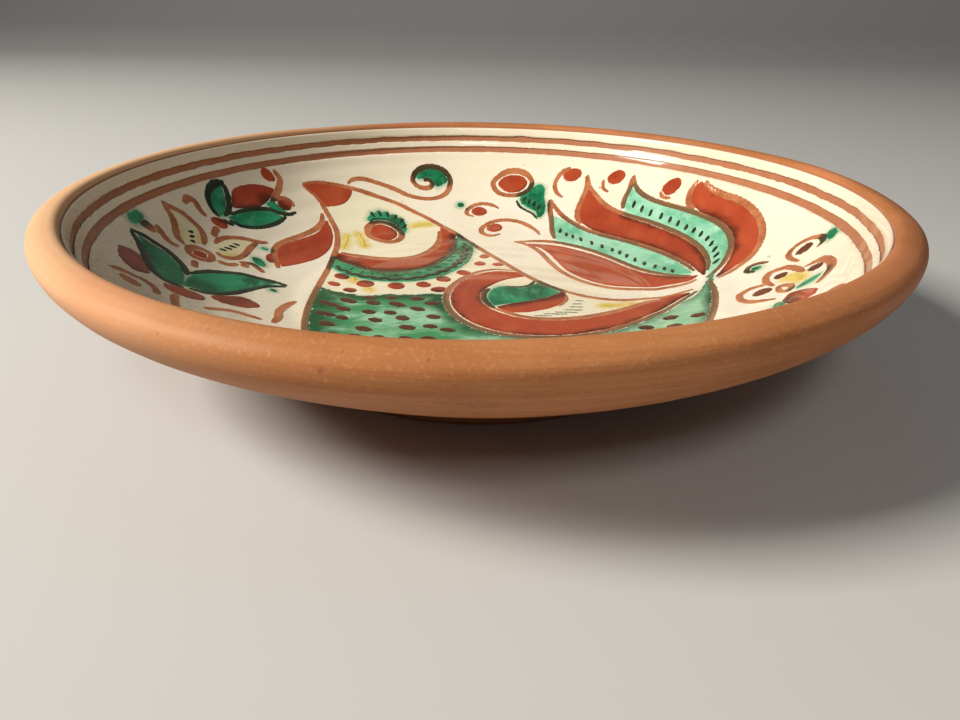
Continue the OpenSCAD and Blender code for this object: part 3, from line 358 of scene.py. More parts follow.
def clay_marks(angle, step):
    """How far the bare clay stands out: turning rings that drift round the wall (sines of the
    profile step), a slow waver of the rim, and a few small dents (the peaks of noise, turned
    in). It dies away towards the foot, which stands true."""
    x = np.cos(angle)
    y = np.sin(angle)
    bare = 1 / (1 + np.exp(-(step - LINED_ROWS - 2) / 1.5))
    bare = bare * np.clip(clay_profile[step + 1, 1] / TRUE_BELOW, 0, 1)
    rings = np.sin(1.9 * step + 2.2 * y) + 0.6 * np.sin(0.83 * step + 1.5 * x)
    wave = ripple(6 * x + 0.05 * step, 6 * y, 4.0, 11)
    dents = np.maximum(ripple(40 * x, 40 * y + 0.35 * step, 3.2, 12, 9) - 1.7, 0)
    return bare * (RING_DEPTH * rings + WAVER * wave - DENT_DEPTH * dents)


CLAY_COLUMNS = 440
clay_points, clay_faces = turned(clay_profile, CLAY_COLUMNS, clay_marks)
clay = built("clay_body_thrown", clay_points, clay_faces, ["clay_body"])
clay_steps = np.repeat(np.arange(len(clay_profile) - 2), CLAY_COLUMNS)
kept(clay, "lined", np.concatenate([(clay_steps < LINED_ROWS) * 1.0, [1.0, 0.0]]))


TERRACOTTA, PALE_TERRACOTTA = (0.37, 0.135, 0.047), (0.48, 0.198, 0.075)
TURNING_STREAK = (0.33, 0.108, 0.036)
PALE_GRIT, DARK_GRIT = (0.66, 0.34, 0.155), (0.22, 0.085, 0.05)
KILN_BLUSH = (0.60, 0.20, 0.10)
PAINTED_LIP_LIGHT = (0.76, 0.49, 0.28)
KILN_SMOKE = (0.17, 0.065, 0.055)
GLAZED_CLAY, PALE_GLAZED_CLAY = (0.34, 0.122, 0.055), (0.50, 0.21, 0.105)


def clay_finish():
    """Terracotta: fine turning streaks, pale and dark specks, a blush and smoke smudges under the lip, a
    painted light that makes the left side of the lip paler, and a glossy brown where the scratched bands
    lie under the glaze."""
    f = Finish("bare_terracotta")
    high = f.height()
    streaks = f.noise(70, 4, 0.7, (0.22, 0.22, 12))
    grain = f.noise(1500, 2, 0.6)
    cloud = f.noise(26, 3, 0.6)
    blush = f.ramp(f.noise(19, 3, 0.6), 0.52, 0.68)
    smudge = f.ramp(f.noise(34, 5, 0.62, (1, 1, 2.2)), 0.60, 0.72)
    specks = f.ramp(f.noise(700, 1, 0.4), 0.755, 0.79)
    colour = f.blend(f.ramp(cloud, 0.3, 0.7), TERRACOTTA, PALE_TERRACOTTA)
    colour = f.blend(f.ramp(streaks, 0.36, 0.7) * 0.6, colour, TURNING_STREAK)
    colour = f.blend(f.ramp(grain, 0.5, 0.8) * 0.3, colour, PALE_GRIT)
    colour = f.blend(blush * 0.35, colour, KILN_BLUSH)
    colour = f.blend(specks * 0.55, colour, DARK_GRIT)
    # Painted light: the left side of the lip and upper wall is made paler, where the key light falls on
    # it.
    painted_light = f.ramp(f.across() + cloud * 0.04, 0.0, -0.075)
    painted_light *= f.ramp(high, crest_height - 16 * MM, crest_height - 3 * MM)
    colour = f.blend(painted_light * 0.7, colour, PAINTED_LIP_LIGHT)
    lower = f.ramp(high, crest_height - 2 * MM, crest_height - 10 * MM)
    colour = f.blend(smudge * lower * 0.6, colour, KILN_SMOKE)
    lined = f.ramp(f.attribute("lined"), 0.4, 0.6)
    band = f.blend(f.noise(230, 4, 0.65), GLAZED_CLAY, PALE_GLAZED_CLAY)
    colour = f.blend(lined, colour, band)
    f.glaze(lined * 0.7, 0.06)
    roughness = f.ramp(grain, 0.2, 0.8) * 0.14 + 0.42 - lined * 0.15
    return f.done(colour, roughness, streaks * 0.6 + grain * 0.35, 0.22 * MM, 0.5)


clay.data.materials.append(clay_finish())

# ---- White slip lining ----
# A thin coat of cream slip poured over the inside while the clay was leather hard, then scratched
# through twice at the rim on the turning wheel. It lies in three zones under a clear glaze.
LINING = ("field_slip", "middle_slip_ring", "rim_slip_ring")
dish_rings = rings_of(np.vstack([facing(corners_of(node)) for node in LINING]))
dish_rings = dish_rings[dish_rings[:, 0] < lining_edge - 0.2 * MM]
apart = np.unique(np.round(dish_rings[:, 0] / (0.15 * MM)), return_index=True)[1]
DISH = flowing(dish_rings[apart], 800)
DISH_EDGE = DISH[-1, 0]


def dish_height(radius):
    """Height of the slip's face at a distance from the axis, read off the dish curve."""
    return np.interp(radius, DISH[:, 0], DISH[:, 1])


def on_dish(x, y, rise):
    """Points of the dish at (x, y), moved off it along its normal by rise."""
    radius = np.hypot(x, y)
    step = 0.3 * MM
    slope = dish_height(radius + step) - dish_height(np.maximum(radius - step, 0))
    slope = np.where(radius < 1 * MM, 0, slope / (2 * step))
    length = np.sqrt(1 + slope**2)
    inwards = -slope / length / np.maximum(radius, 1e-6)
    height = dish_height(radius) + rise / length
    return settled(np.column_stack([x + x * inwards * rise, y + y * inwards * rise, height]))


SLIP_DEPTH = 0.45
RING_COLUMNS = 900


def lining_ring(name, node, seed):
    """A ring of slip between two scratched bands: a closed strip of nine points across with a
    rounded face, whose two edges waver where the scratching tool caught."""
    tops = rings_of(facing(corners_of(node)))
    inner, outer = tops[0, 0], min(tops[-1, 0], DISH_EDGE)
    angle = np.linspace(0, math.tau, RING_COLUMNS, endpoint=False)
    x, y = np.cos(angle), np.sin(angle)
    torn = 0.035 * ripple(90 * x, 90 * y, 9.0, seed) + 0.02 * ripple(90 * x, 90 * y, 1.8, seed + 1)
    other = 0.03 * ripple(90 * x, 90 * y, 8.0, seed + 2) + 0.02 * ripple(90 * x, 90 * y, 1.6, seed + 3)
    start = inner + MM * torn
    at_lip = outer > DISH_EDGE - edge_slack
    end = np.full(RING_COLUMNS, outer) if at_lip else outer + MM * other
    share = np.array([0, 0, 0.08, 0.25, 0.5, 0.75, 0.92, 1, 1])
    rise = MM * np.array([-SLIP_DEPTH, -0.16, -0.03, 0, 0.01, 0, -0.03, -0.16, -SLIP_DEPTH])
    radius = start[None, :] + share[:, None] * (end - start)[None, :]
    points = on_dish((radius * x).ravel(), (radius * y).ravel(), np.repeat(rise, RING_COLUMNS))
    row, column = np.meshgrid(np.arange(len(share)), np.arange(RING_COLUMNS), indexing="ij")
    after, below = (column + 1) % RING_COLUMNS, (row + 1) % len(share)
    row, below = row * RING_COLUMNS, below * RING_COLUMNS
    faces = np.stack([below + column, below + after, row + after, row + column], axis=-1).reshape(-1, 4)
    return built(name, points, faces.tolist(), [node])


rim_ring = lining_ring("rim_slip_ring_poured", "rim_slip_ring", 21)
middle_ring = lining_ring("middle_slip_ring_poured", "middle_slip_ring", 31)


WELD = 2e-6


def outline_of(*nodes):
    """The boundary of the nodes' upper faces in plan, as an array (edges, 2 ends, xy): an edge
    that only one upper triangle has is on the boundary."""
    found = []
    for node in nodes:
        plan = facing(corners_of(node))[:, :, :2].reshape(-1, 2)
        keys, index = np.unique(np.round(plan / WELD).astype(np.int64), axis=0, return_inverse=True)
        tri = index.reshape(-1, 3)
        edges = np.vstack([tri[:, [0, 1]], tri[:, [1, 2]], tri[:, [2, 0]]])
        edges = edges[edges[:, 0] != edges[:, 1]]
        code = edges[:, 0] * len(keys) + edges[:, 1]
        back = edges[:, 1] * len(keys) + edges[:, 0]
        found.append((keys * WELD)[edges[~np.isin(code, back)]])
    return np.concatenate(found)


def crossings(a, b, x, y):
    """How often a ray from each point towards +X crosses the edges from a to b."""
    rise = np.where(b[:, 1] == a[:, 1], 1e-12, b[:, 1] - a[:, 1])
    at = a[:, 0] + (y - a[:, 1]) / rise * (b[:, 0] - a[:, 0])
    return (((a[:, 1] > y) != (b[:, 1] > y)) & (x < at)).sum(1)


TILE = 9 * MM


def reach_of(outline, x, y, limit):
    """Signed distance in plan from points to an outline, negative inside, and the unit direction
    outwards. The distance is to the nearest point of the nearest edge, and it stops at limit.
    Inside is where a ray crosses the outline an odd number of times. Points are taken in square
    tiles, each with only the edges near it."""
    distance = np.full(len(x), limit)
    out_x, out_y = np.zeros(len(x)), np.zeros(len(x))
    odd = np.zeros(len(x), bool)
    start, end = outline[:, 0], outline[:, 1]
    low, high = np.minimum(start, end), np.maximum(start, end)
    tile = np.floor(y / TILE) * 10000 + np.floor(x / TILE)
    order = np.argsort(tile, kind="stable")
    for block in np.split(order, np.flatnonzero(np.diff(tile[order])) + 1):
        bx, by = x[block][:, None], y[block][:, None]
        level = (high[:, 1] >= by.min()) & (low[:, 1] <= by.max()) & (high[:, 0] >= bx.min())
        if level.any():
            odd[block] = crossings(start[level], end[level], bx, by) % 2 == 1
        near = ((high[:, 0] > bx.min() - limit) & (low[:, 0] < bx.max() + limit)
                & (high[:, 1] > by.min() - limit) & (low[:, 1] < by.max() + limit))
        a, b = start[near], end[near]
        if not len(a):
            continue
        along = b - a
        length = np.maximum((along**2).sum(1), 1e-18)
        share = np.clip(((bx - a[:, 0]) * along[:, 0] + (by - a[:, 1]) * along[:, 1]) / length, 0, 1)
        dx, dy = bx - a[:, 0] - share * along[:, 0], by - a[:, 1] - share * along[:, 1]
        squared = dx**2 + dy**2
        pick = (np.arange(len(block)), squared.argmin(1))
        gap = np.sqrt(squared[pick])
        closer = gap < limit
        distance[block] = np.where(closer, gap, limit)
        out_x[block] = np.where(closer, dx[pick] / np.maximum(gap, 1e-9), 0)
        out_y[block] = np.where(closer, dy[pick] / np.maximum(gap, 1e-9), 0)
    sign = np.where(odd, -1.0, 1.0)
    return distance * sign, out_x * sign, out_y * sign


STAINS = {
    "green": outline_of("green_collar", "collar_scallops", "wing_leaf", "eye_lashes", "crest_curl",
                        "green_drop", "bud_leaves", "double_leaf", "green_smears", "garland_leaves"),
    "mint": outline_of("belly_wash", "tail_feather_2", "tail_feather_4"),
    "yellow": outline_of("yellow_strokes"),
}
STAIN_REACH = 7.0


def stained(piece, marks, x, y):
    """Stores how far each vertex is in millimetres from the paint that runs, up to STAIN_REACH.
    The lower face of a film repeats its upper one, so only the first half is worked out."""
    half = len(x) // 2
    for mark in marks:
        near = reach_of(STAINS[mark], x[:half], y[:half], STAIN_REACH * MM)[0]
        kept(piece, mark, np.tile(near, 2) / MM)


def film(name, distance_at, corners, grid, section, replaced, thick):
    """A film on the dish, cut to the outline where distance_at is 0. Grid points that are just
    outside are drawn in onto the outline; the upper face rises from it by section(distance in),
    and the lower face lies thick under the dish. Returns the piece, its points in plan and how
    far in from its edge each is."""
    (low_x, low_y), (high_x, high_y) = corners
    xs = np.arange(low_x - 2 * grid, high_x + 3 * grid, grid)
    ys = np.arange(low_y - 2 * grid, high_y + 3 * grid, grid)
    x, y = (a.ravel() for a in np.meshgrid(xs, ys))
    distance, out_x, out_y = distance_at(x, y)
    inside = (distance < 0).reshape(len(ys), len(xs))
    cell = inside[:-1, :-1] | inside[1:, :-1] | inside[:-1, 1:] | inside[1:, 1:]
    row, column = np.nonzero(cell)
    across = len(xs)
    corner = row * across + column
    quads = np.column_stack([corner, corner + 1, corner + 1 + across, corner + across])
    outside = distance > 0
    x = np.where(outside, x - distance * out_x, x)
    y = np.where(outside, y - distance * out_y, y)
    used, index = np.unique(quads, return_inverse=True)
    quads = index.reshape(-1, 4)
    x, y = x[used], y[used]
    depth = np.maximum(-distance[used], 0)
    count = len(used)
    points = np.vstack([on_dish(x, y, section(depth)), on_dish(x, y, np.full(count, -thick))])
    sides = np.vstack([quads[:, [0, 1]], quads[:, [1, 2]], quads[:, [2, 3]], quads[:, [3, 0]]])
    back = sides[:, 1] * count + sides[:, 0]
    rim = sides[~np.isin(sides[:, 0] * count + sides[:, 1], back)]
    skirt = np.column_stack([rim[:, 1], rim[:, 0], rim[:, 0] + count, rim[:, 1] + count])
    faces = np.vstack([quads, quads[:, ::-1] + count, skirt]).tolist()
    piece = built(name, points, faces, replaced)
    plan_map(piece, np.tile(x, 2), np.tile(y, 2))
    return piece, np.tile(x, 2), np.tile(y, 2), np.tile(depth, 2)


def plan_map(piece, x, y):
    """A map of the piece seen from above, for its upper face, with the hidden faces put away
    small in a corner."""
    span = max(np.ptp(x), np.ptp(y))
    mesh = piece.data
    loops = np.empty(len(mesh.loops), int)
    mesh.loops.foreach_get("vertex_index", loops)
    hidden = (loops.reshape(-1, 4) >= len(x) // 2).any(1).repeat(4)
    scale = np.where(hidden, 0.045, 0.94)[:, None] / span
    shift = np.where(hidden, 0.952, 0.003)[:, None]
    place = np.column_stack([x - x.min(), y - y.min()])[loops] * scale + shift
    mesh.uv_layers.new(name="OFBake").data.foreach_set("uv", place.astype(np.float32).ravel())


FIELD_RADIUS = rings_of(facing(corners_of("field_slip")))[-1, 0]


def field_distance(x, y):
    """Distance to the inner scratched band, which is a circle with a torn edge."""
    radius = np.maximum(np.hypot(x, y), 1e-9)
    torn = 0.035 * ripple(x / MM, y / MM, 9.0, 41) + 0.02 * ripple(x / MM, y / MM, 2.4, 42)
    return radius - FIELD_RADIUS + MM * torn, x / radius, y / radius


def field_section(depth):
    """A rounded shoulder, 0.2 mm deep over the first 0.3 mm from the edge."""
    return -0.2 * MM * np.clip(1 - depth / (0.3 * MM), 0, 1) ** 2


field_corners = ((-FIELD_RADIUS, -FIELD_RADIUS), (FIELD_RADIUS, FIELD_RADIUS))
field, field_x, field_y, _ = film("field_slip_poured", field_distance, field_corners, 0.72 * MM,
                                  field_section, ["field_slip"], SLIP_DEPTH * MM)
stained(field, STAINS, field_x, field_y)


def within(strokes, x, y):
    """Whether points are inside a shape that is drawn by strokes with two edges each: at least
    three of four rays, along +X, -X, +Y and -Y, cross an odd number of strokes."""
    votes = np.zeros(len(x), int)
    for turn in range(4):
        a, b = strokes[:, 0], strokes[:, 1]
        parts = np.array_split(np.arange(len(x)), 60)
        met = [crossings(a, b, x[part][:, None], y[part][:, None]) for part in parts]
        votes += np.concatenate(met) // 2 % 2
        strokes = np.stack([-strokes[..., 1], strokes[..., 0]], axis=-1)
        x, y = -y, x
    return votes >= 3


half = len(field_x) // 2
in_bird = within(outline_of("bird_contour"), field_x[:half], field_y[:half])
kept(field, "bird", np.tile(in_bird, 2).astype(float))
for ring in (rim_ring, middle_ring):
    for mark in STAINS:
        kept(ring, mark, np.full(len(ring.data.vertices), STAIN_REACH))


CREAM, PALE_CREAM = (0.76, 0.67, 0.51), (0.82, 0.74, 0.60)
DRAGGED_CREAM = (0.78, 0.67, 0.48)
POOLED_CREAM = (0.84, 0.70, 0.46)
BIRD_CREAM = (0.80, 0.72, 0.49)
IRON_SPECK = (0.30, 0.14, 0.07)
YELLOW_RUN = (0.66, 0.48, 0.06)
MINT_RUN = (0.30, 0.50, 0.36)
GREEN_RUN = (0.07, 0.33, 0.16)


def slip_finish():
    """Cream slip under clear glaze: faint clouds, warm pooling near the wall, a yellower wash
    inside the bird, a few stray specks, and colour that has run out of the painting."""
    f = Finish("glazed_cream_slip")
    cloud = f.noise(20, 3, 0.55)
    drag = f.noise(150, 4, 0.6, (1, 0.35, 1))
    fine = f.noise(700, 3, 0.6)
    colour = f.blend(f.ramp(cloud, 0.35, 0.65), CREAM, PALE_CREAM)
    colour = f.blend(f.ramp(drag, 0.4, 0.75) * 0.3, colour, DRAGGED_CREAM)
    warm = f.ramp(f.distance_out(), 62 * MM, 90 * MM)
    colour = f.blend(warm * 0.2, colour, POOLED_CREAM)
    bird_wash = f.ramp(cloud * 0.6 + f.attribute("bird"), 0.75, 1.25)
    colour = f.blend(bird_wash * 0.65, colour, BIRD_CREAM)
    specks = f.ramp(f.noise(420, 1, 0.3), 0.79, 0.82)
    colour = f.blend(specks * 0.5, colour, IRON_SPECK)
    runs = f.noise(230, 4, 0.65) * 3.0 - 1.5
    yellow = f.ramp(f.attribute("yellow") + runs * 1.2, 2.8, -0.3)
    colour = f.blend(yellow * 0.9, colour, YELLOW_RUN)
    mint = f.ramp(f.attribute("mint") + runs * 0.9, 1.8, -0.5)
    colour = f.blend(mint * 0.5, colour, MINT_RUN)
    green = f.ramp(f.attribute("green") + runs, 2.3, -0.3)
    colour = f.blend(green * 0.65, colour, GREEN_RUN)
    f.glaze(0.7, 0.035)
    roughness = f.ramp(fine, 0.2, 0.9) * 0.1 + 0.24
    return f.done(colour, roughness, cloud + fine * 0.05, 0.5 * MM, 0.1)


glazed_slip = slip_finish()
for piece in (field, rim_ring, middle_ring):
    piece.data.materials.append(glazed_slip)


# ---- Contour lines ----
# Lines scratched through the slip with a blunt point, down to the brown clay, so that each is a
# shallow trough with a burr along both edges. The copper of a green beside a line runs into it.
PAINT_DEPTH = 0.1 * MM


def painted(node, material, section, grid, torn, wave, seed, grow=0.15, limit=2.5):
    """A coat on the dish, cut to its CAD outline grown by grow and stored with the depth in from
    its edge. The edge strays by up to torn, in waves as long as wave. Lengths are in millimetres,
    and limit is how deep the depth goes."""
    outline = outline_of(node)

    def distance_at(x, y):
        """Distance to the outline, less what it is grown by, plus the stray of its edge."""
        distance, out_x, out_y = reach_of(outline, x, y, limit * MM)
        stray = ripple(x / MM, y / MM, wave, seed) + 0.5 * ripple(x / MM, y / MM, wave / 3, seed + 1)
        return distance + MM * (torn * stray - grow), out_x, out_y

    low, high = outline.reshape(-1, 2).min(0), outline.reshape(-1, 2).max(0)
    piece, x, y, depth = film(node + "_painted", distance_at, (low - grow * MM, high + grow * MM),
                              grid * MM, section, [node], PAINT_DEPTH)
    kept(piece, "edge", depth / MM)
    stained(piece, ("green", "mint"), x, y)
    piece.data.materials.append(material)


def trough(depth):
    """A burr 0.1 mm high close to the edge, and a hollow level with the dish inside it."""
    d = depth / MM
    return MM * (0.015 + 0.10 * np.exp(-((d - 0.16) / 0.13) ** 2))


SCRATCHED_CLAY, PALE_SCRATCHED_CLAY = (0.32, 0.095, 0.034), (0.50, 0.180, 0.073)
FINE_CLAY = (0.62, 0.31, 0.15)
BURR_HIGHLIGHT_CLAY = (0.74, 0.50, 0.32)
OLIVE_CLAY = (0.105, 0.085, 0.040)
COPPERED_CLAY = (0.030, 0.036, 0.016)


def line_finish():
    """Brown clay seen through clear glaze: paler along the burrs as a painted highlight, olive where
    copper has run.
    """
    f = Finish("scratched_line")
    patch = f.noise(190, 4, 0.65)
    fine = f.noise(1300, 3, 0.7)
    edge = f.attribute("edge")
    colour = f.blend(f.ramp(patch, 0.3, 0.7), SCRATCHED_CLAY, PALE_SCRATCHED_CLAY)
    colour = f.blend(f.ramp(fine, 0.45, 0.8) * 0.25, colour, FINE_CLAY)
    # Painted highlight: a paler clay colour along both edges of each line, where the burr catches the
    # light.
    colour = f.blend(f.ramp(edge, 0.18, 0.03) * 0.3, colour, BURR_HIGHLIGHT_CLAY)
    runs = f.noise(260, 3, 0.6) * 2.4 - 1.2
    mint = f.ramp(f.attribute("mint") + runs, 2.6, 1.0)
    colour = f.blend(mint * 0.8, colour, OLIVE_CLAY)
    green = f.ramp(f.attribute("green") + runs, 3.0, 1.3)
    colour = f.blend(green * 0.93, colour, COPPERED_CLAY)
    f.glaze(0.7, 0.05)
    return f.done(colour, 0.32, patch * 0.6 + fine * 0.5, 0.16 * MM, 0.6)


scratched = line_finish()
LINES = ("bird_contour", "crest_line", "eye_ring", "wattle_contour", "collar_contour", "wing_contour",
         "tail_contours", "top_curls", "flower_contours", "bud_stem", "star_contours", "left_curls",
         "garland_stems")
BROAD_LINES = ("eye_ring", "wattle_contour", "flower_contours", "star_contours", "left_curls", "bud_stem")
for number, node in enumerate(LINES):
    grow = 0.28 if node in BROAD_LINES else 0.12
    painted(node, scratched, trough, 0.28, 0.07, 1.5, 100 + 3 * number, grow)


# ---- Red-brown slip ----
# An iron-rich slip laid thickly with a brush inside the contours. It stands a little proud with
# a rounded edge, goes nearly black where copper has run over it, and thins to orange at its edge.
SHOULDER = 0.45 * MM


def cushion(rise):
    """A coat that rises to its full height, in millimetres, across a shoulder along its edge, as
    a quarter round."""
    def section(depth):
        inwards = np.clip(depth / SHOULDER, 0, 1)
        return MM * (0.01 + rise * np.sqrt(1 - (1 - inwards) ** 2))
    return section


IRON_RED, BRIGHT_IRON_RED = (0.31, 0.040, 0.014), (0.41, 0.064, 0.022)
BRUSHED_RED = (0.48, 0.10, 0.036)
THIN_RED = (0.60, 0.22, 0.10)
BURNT_SPECK = (0.10, 0.02, 0.01)
COPPERED_RED = (0.060, 0.014, 0.007)


def red_finish():
    """Iron red in clouds, with brush marks, an orange edge, dark specks and a copper stain."""
    f = Finish("red_iron_slip")
    cloud = f.noise(45, 4, 0.6)
    brush = f.noise(210, 4, 0.6, (1, 0.35, 1))
    fine = f.noise(900, 3, 0.6)
    edge = f.attribute("edge")
    colour = f.blend(f.ramp(cloud, 0.35, 0.65), IRON_RED, BRIGHT_IRON_RED)
    colour = f.blend(f.ramp(brush, 0.45, 0.75) * 0.5, colour, BRUSHED_RED)
    colour = f.blend(f.ramp(edge, 0.3, 0.0) * 0.3, colour, THIN_RED)
    specks = f.ramp(f.noise(500, 1, 0.4), 0.76, 0.8)
    colour = f.blend(specks * 0.6, colour, BURNT_SPECK)
    runs = f.noise(110, 4, 0.65) * 5.0 - 2.5
    near = f.attribute("green").least(f.attribute("mint"))
    stain = f.ramp(near + runs, 4.2, 1.6)
    colour = f.blend(stain * 0.85, colour, COPPERED_RED)
    f.glaze(0.7, 0.04)
    roughness = f.ramp(fine, 0.2, 0.9) * 0.12 + 0.3
    return f.done(colour, roughness, cloud * 0.8 + brush * 0.35 + fine * 0.1, 0.35 * MM, 0.45)


red_slip = red_finish()
REDS = ("beak", "eye_iris", "wattle", "red_collar", "breast_dots", "wing_red", "wing_feather",
        "tail_feather_1", "tail_feather_3", "tail_feather_5", "top_dots", "right_bud", "bud_petal",
        "star_centre", "bird_legs", "garland_petals")
LOOSE_REDS = ("eye_iris", "breast_dots", "top_dots", "star_centre", "bird_legs", "garland_petals")
for number, node in enumerate(REDS):
    grow = 0.1 if node in LOOSE_REDS else 0.42
    painted(node, red_slip, cushion(0.12), 0.34, 0.06, 2.6, 200 + 3 * number, grow)


# ---- Dark red-brown slip ----
# The same iron slip, brushed on thinner and under more copper: nearly black in the short dashes
# on the bird's belly and the dots of the flower, redder in the petals under the double leaf.
THIN_DARK_RED = (0.20, 0.10, 0.045)
COPPERED_DARK_RED = (0.045, 0.026, 0.012)


def dark_red_finish(name, deep, middle):
    """Deep to middle in clouds, olive brown along the edge and darker where copper is near."""
    f = Finish(name)
    cloud = f.noise(90, 4, 0.6)
    fine = f.noise(900, 3, 0.6)
    edge = f.attribute("edge")
    colour = f.blend(f.ramp(cloud, 0.3, 0.7), deep, middle)
    colour = f.blend(f.ramp(edge, 0.35, 0.0) * 0.5, colour, THIN_DARK_RED)
    copper = f.attribute("green").least(f.attribute("mint") + 1.0)
    green = f.ramp(copper + cloud * 2.0, 3.0, 1.6)
    colour = f.blend(green * 0.6, colour, COPPERED_DARK_RED)
    f.glaze(0.7, 0.04)
    return f.done(colour, 0.3, cloud * 0.8 + fine * 0.2, 0.3 * MM, 0.5)


dark_red = dark_red_finish("dark_red_slip", (0.085, 0.028, 0.013), (0.19, 0.052, 0.022))
petal_red = dark_red_finish("petal_red_slip", (0.17, 0.036, 0.018), (0.36, 0.075, 0.036))
DARK_REDS = {"belly_dashes": dark_red, "flower_dots": dark_red, "lower_petals": petal_red}
for number, (node, finish) in enumerate(DARK_REDS.items()):
    painted(node, finish, cushion(0.14), 0.3, 0.11, 1.8, 300 + 3 * number)


# ---- Green copper ----
# Copper stain brushed into the leaves, the collar and the lashes. It melts into the glaze, so it
# is glassy and mottled, deep where it pools and pale where the brush was dry. Two tail feathers
# have it thinned to mint.
def green_finish(name, deep, middle, pale):
    """Deep to middle in pools, pale in streaks of the brush and along the edge."""
    f = Finish(name)
    pool = f.noise(80, 4, 0.6)
    streak = f.noise(300, 4, 0.65, (1, 0.4, 1))
    fine = f.noise(1000, 3, 0.6)
    edge = f.attribute("edge")
    colour = f.blend(f.ramp(pool, 0.38, 0.62), deep, middle)
    colour = f.blend(f.ramp(streak, 0.48, 0.78) * 0.7, colour, pale)
    colour = f.blend(f.ramp(edge, 0.35, 0.0) * 0.4, colour, pale)
    f.glaze(0.7, 0.03)
    roughness = f.ramp(fine, 0.2, 0.9) * 0.1 + 0.24
    return f.done(colour, roughness, pool * 0.9 + streak * 0.3, 0.35 * MM, 0.35)


green_glass = green_finish("green_copper", (0.006, 0.110, 0.040), (0.022, 0.270, 0.120),
                           (0.080, 0.38, 0.20))
GREENS = ("crest_curl", "eye_lashes", "green_collar", "wing_leaf", "green_drop", "bud_leaves",
          "double_leaf", "green_smears", "garland_leaves")
for number, node in enumerate(GREENS):
    painted(node, green_glass, cushion(0.06), 0.32, 0.07, 2.4, 400 + 3 * number, 0.36)

mint_glass = green_finish("mint_copper", (0.13, 0.42, 0.24), (0.32, 0.62, 0.42), (0.45, 0.74, 0.54))
for number, node in enumerate(("tail_feather_2", "tail_feather_4")):
    painted(node, mint_glass, cushion(0.06), 0.34, 0.08, 3.0, 500 + 3 * number, 0.36)


# ---- The belly's wash ----
# A wet wash of copper: deep green where it first touched the slip, along its upper edge and by
# the neck, and thinned with water to a pale mint further in.
WET_GREEN, WATERED_GREEN = (0.055, 0.25, 0.095), (0.27, 0.50, 0.30)
PALE_MINT = (0.42, 0.66, 0.46)
FIRST_GREEN = (0.006, 0.070, 0.018)


def belly_finish():
    """Green to mint in long drifts, deep along the upper edge and by the neck."""
    f = Finish("belly_wash")
    cloud = f.noise(30, 3, 0.6)
    streak = f.noise(130, 5, 0.65, (0.5, 1, 1))
    edge = f.attribute("edge")
    colour = f.blend(f.ramp(cloud + streak * 0.5, 0.64, 0.84), WET_GREEN, WATERED_GREEN)
    colour = f.blend(f.ramp(streak + cloud * 0.4, 0.66, 0.9) * 0.8, colour, PALE_MINT)
    by_neck = f.ramp(f.across() + streak * 0.014, -0.023, -0.034)
    deep = f.ramp(edge + cloud * 12.0, 11.0, 6.5).most(by_neck)
    colour = f.blend(deep * f.ramp(streak, 0.25, 0.5) * 0.95, colour, FIRST_GREEN)
    f.glaze(0.7, 0.03)
    return f.done(colour, 0.26, cloud * 0.9 + streak * 0.3, 0.35 * MM, 0.35)


painted("belly_wash", belly_finish(), cushion(0.05), 0.4, 0.25, 3.0, 540, 0.18, 9.0)


# ---- Dark green copper ----
# Copper over brown: the black-green outlines of the leaves, the scalloped edge of the collar, and
# the small ticks along the feathers, petals and lashes.
BLACK_GREEN, DEEP_OLIVE = (0.010, 0.020, 0.009), (0.034, 0.050, 0.024)
THIN_OLIVE = (0.10, 0.12, 0.06)


def dark_green_finish():
    """Black-green to olive in clouds, and paler along the edge."""
    f = Finish("dark_green_copper")
    cloud = f.noise(170, 4, 0.6)
    fine = f.noise(1200, 3, 0.6)
    edge = f.attribute("edge")
    colour = f.blend(f.ramp(cloud, 0.3, 0.7), BLACK_GREEN, DEEP_OLIVE)
    colour = f.blend(f.ramp(edge, 0.25, 0.0) * 0.35, colour, THIN_OLIVE)
    f.glaze(0.7, 0.04)
    return f.done(colour, 0.26, cloud * 0.7 + fine * 0.3, 0.2 * MM, 0.5)


dark_green = dark_green_finish()
OVER_GREEN = ("tail_ticks", "lash_ticks", "star_ticks", "collar_scallops", "collar_ticks", "drop_marks")
FINE_MARKS = ("wing_hatching", "collar_ticks")
GROWN = {"collar_scallops": 0.22, "collar_ticks": -0.06, "leaf_contours": 0.18}
for number, node in enumerate((*OVER_GREEN, "bud_contours", "leaf_contours", "wing_hatching")):
    grid = 0.16 if node in FINE_MARKS else 0.22
    coat = cushion(0.17 if node in OVER_GREEN else 0.08)
    grow = GROWN.get(node, 0.05)
    painted(node, dark_green, coat, grid, 0.07, 1.6, 600 + 3 * number, grow)


# ---- Yellow iron ----
# A thin iron stain, brushed on last into the star flower's petals and in a few loose strokes. It
# has almost no body, and it runs a little into the cream slip around it.
def yellow_finish(name, pale, deep):
    """Pale to deep in clouds, and nearly cream in the middle of a broad stroke."""
    f = Finish(name)
    cloud = f.noise(140, 4, 0.6)
    edge = f.attribute("edge")
    colour = f.blend(f.ramp(cloud, 0.42, 0.68), pale, deep)
    colour = f.blend(f.ramp(edge, 0.7, 1.5) * 0.5, colour, (0.80, 0.72, 0.47))
    f.glaze(0.7, 0.035)
    return f.done(colour, 0.28, cloud, 0.3 * MM, 0.4)


pale_yellow = yellow_finish("pale_yellow_iron", (0.78, 0.69, 0.42), (0.70, 0.56, 0.20))
painted("star_petals", pale_yellow, cushion(0.03), 0.34, 0.1, 2.6, 700, 0.3)
deep_yellow = yellow_finish("deep_yellow_iron", (0.70, 0.52, 0.14), (0.58, 0.38, 0.04))
painted("yellow_strokes", deep_yellow, cushion(0.03), 0.3, 0.16, 2.2, 703, -0.05)


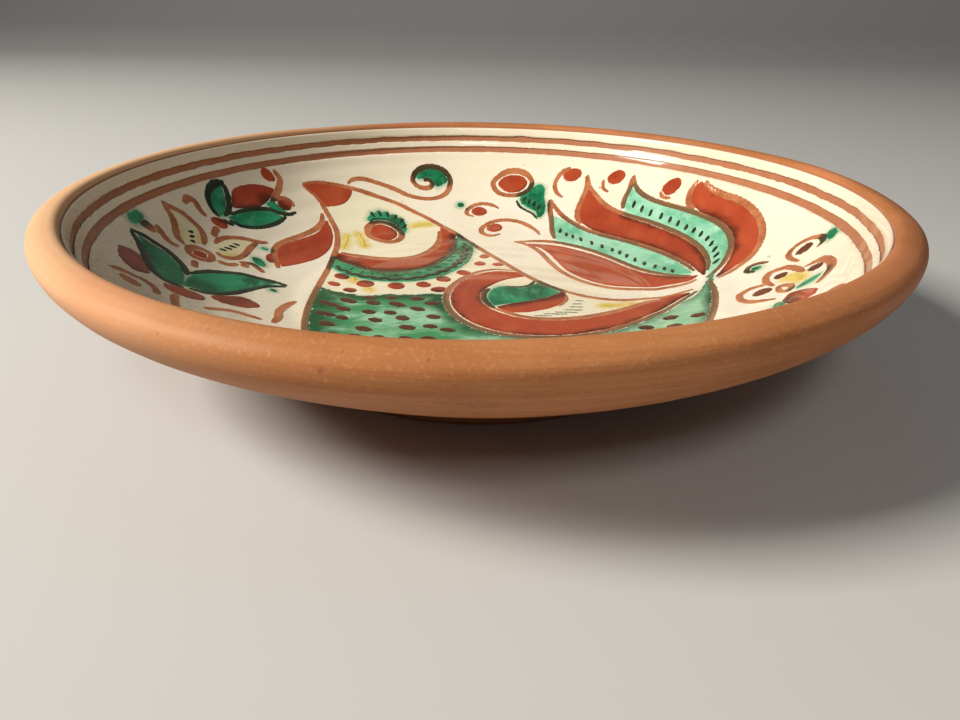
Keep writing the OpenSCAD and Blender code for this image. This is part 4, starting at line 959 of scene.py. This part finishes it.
# ---- Floor and light ----
# A pale matt floor that sweeps up behind the plate, a soft key light from the near left, a
# smaller soft light above the camera, and a dim even surround.
floor_reach = 8.0
floor_mesh = bpy.data.meshes.new("floor")
floor_line = [(-floor_reach, 0), (1.1, 0), (1.5, 0.03), (1.8, 0.12), (2.0, 0.30), (2.1, 0.60),
              (2.1, 1.6)]
floor_points = [(x, y, z) for y, z in floor_line for x in (-floor_reach, floor_reach)]
floor_faces = [(2 * i, 2 * i + 1, 2 * i + 3, 2 * i + 2) for i in range(len(floor_line) - 1)]
floor_mesh.from_pydata(floor_points, [], floor_faces)
floor_mesh.polygons.foreach_set("use_smooth", np.ones(len(floor_faces), bool))
floor = bpy.data.objects.new("floor", floor_mesh)
bpy.context.scene.collection.objects.link(floor)
floor_material = bpy.data.materials.new("pale_floor")
floor_material.use_nodes = True
floor_shader = floor_material.node_tree.nodes["Principled BSDF"]
floor_shader.inputs["Base Color"].default_value = (0.50, 0.49, 0.47, 1)
floor_shader.inputs["Roughness"].default_value = 0.85
floor_mesh.materials.append(floor_material)


def soft_light(name, place, size, power, colour):
    """A square area light at place, aimed at the middle of the dish."""
    data = bpy.data.lights.new(name, "AREA")
    data.size = size
    data.energy = power
    data.color = colour
    lamp = bpy.data.objects.new(name, data)
    bpy.context.scene.collection.objects.link(lamp)
    away = Vector(place) - Vector((0, 0, 0.02))
    turn = away.to_track_quat("Z", "Y").to_matrix().to_4x4()
    lamp.matrix_world = Matrix.Translation(Vector(place)) @ turn


soft_light("key", (-0.92, -0.25, 0.80), 0.38, 22.5, (1.0, 0.97, 0.90))
soft_light("front", (0.0, -0.98, 1.0), 0.3, 3.8, (1.0, 0.98, 0.95))
world = bpy.data.worlds.new("studio")
world.use_nodes = True
world.node_tree.nodes["Background"].inputs["Color"].default_value = (0.94, 0.96, 1.0, 1)
world.node_tree.nodes["Background"].inputs["Strength"].default_value = 0.11
bpy.context.scene.world = world
bpy.context.scene.view_settings.view_transform = "Standard"

bpy.context.view_layer.update()
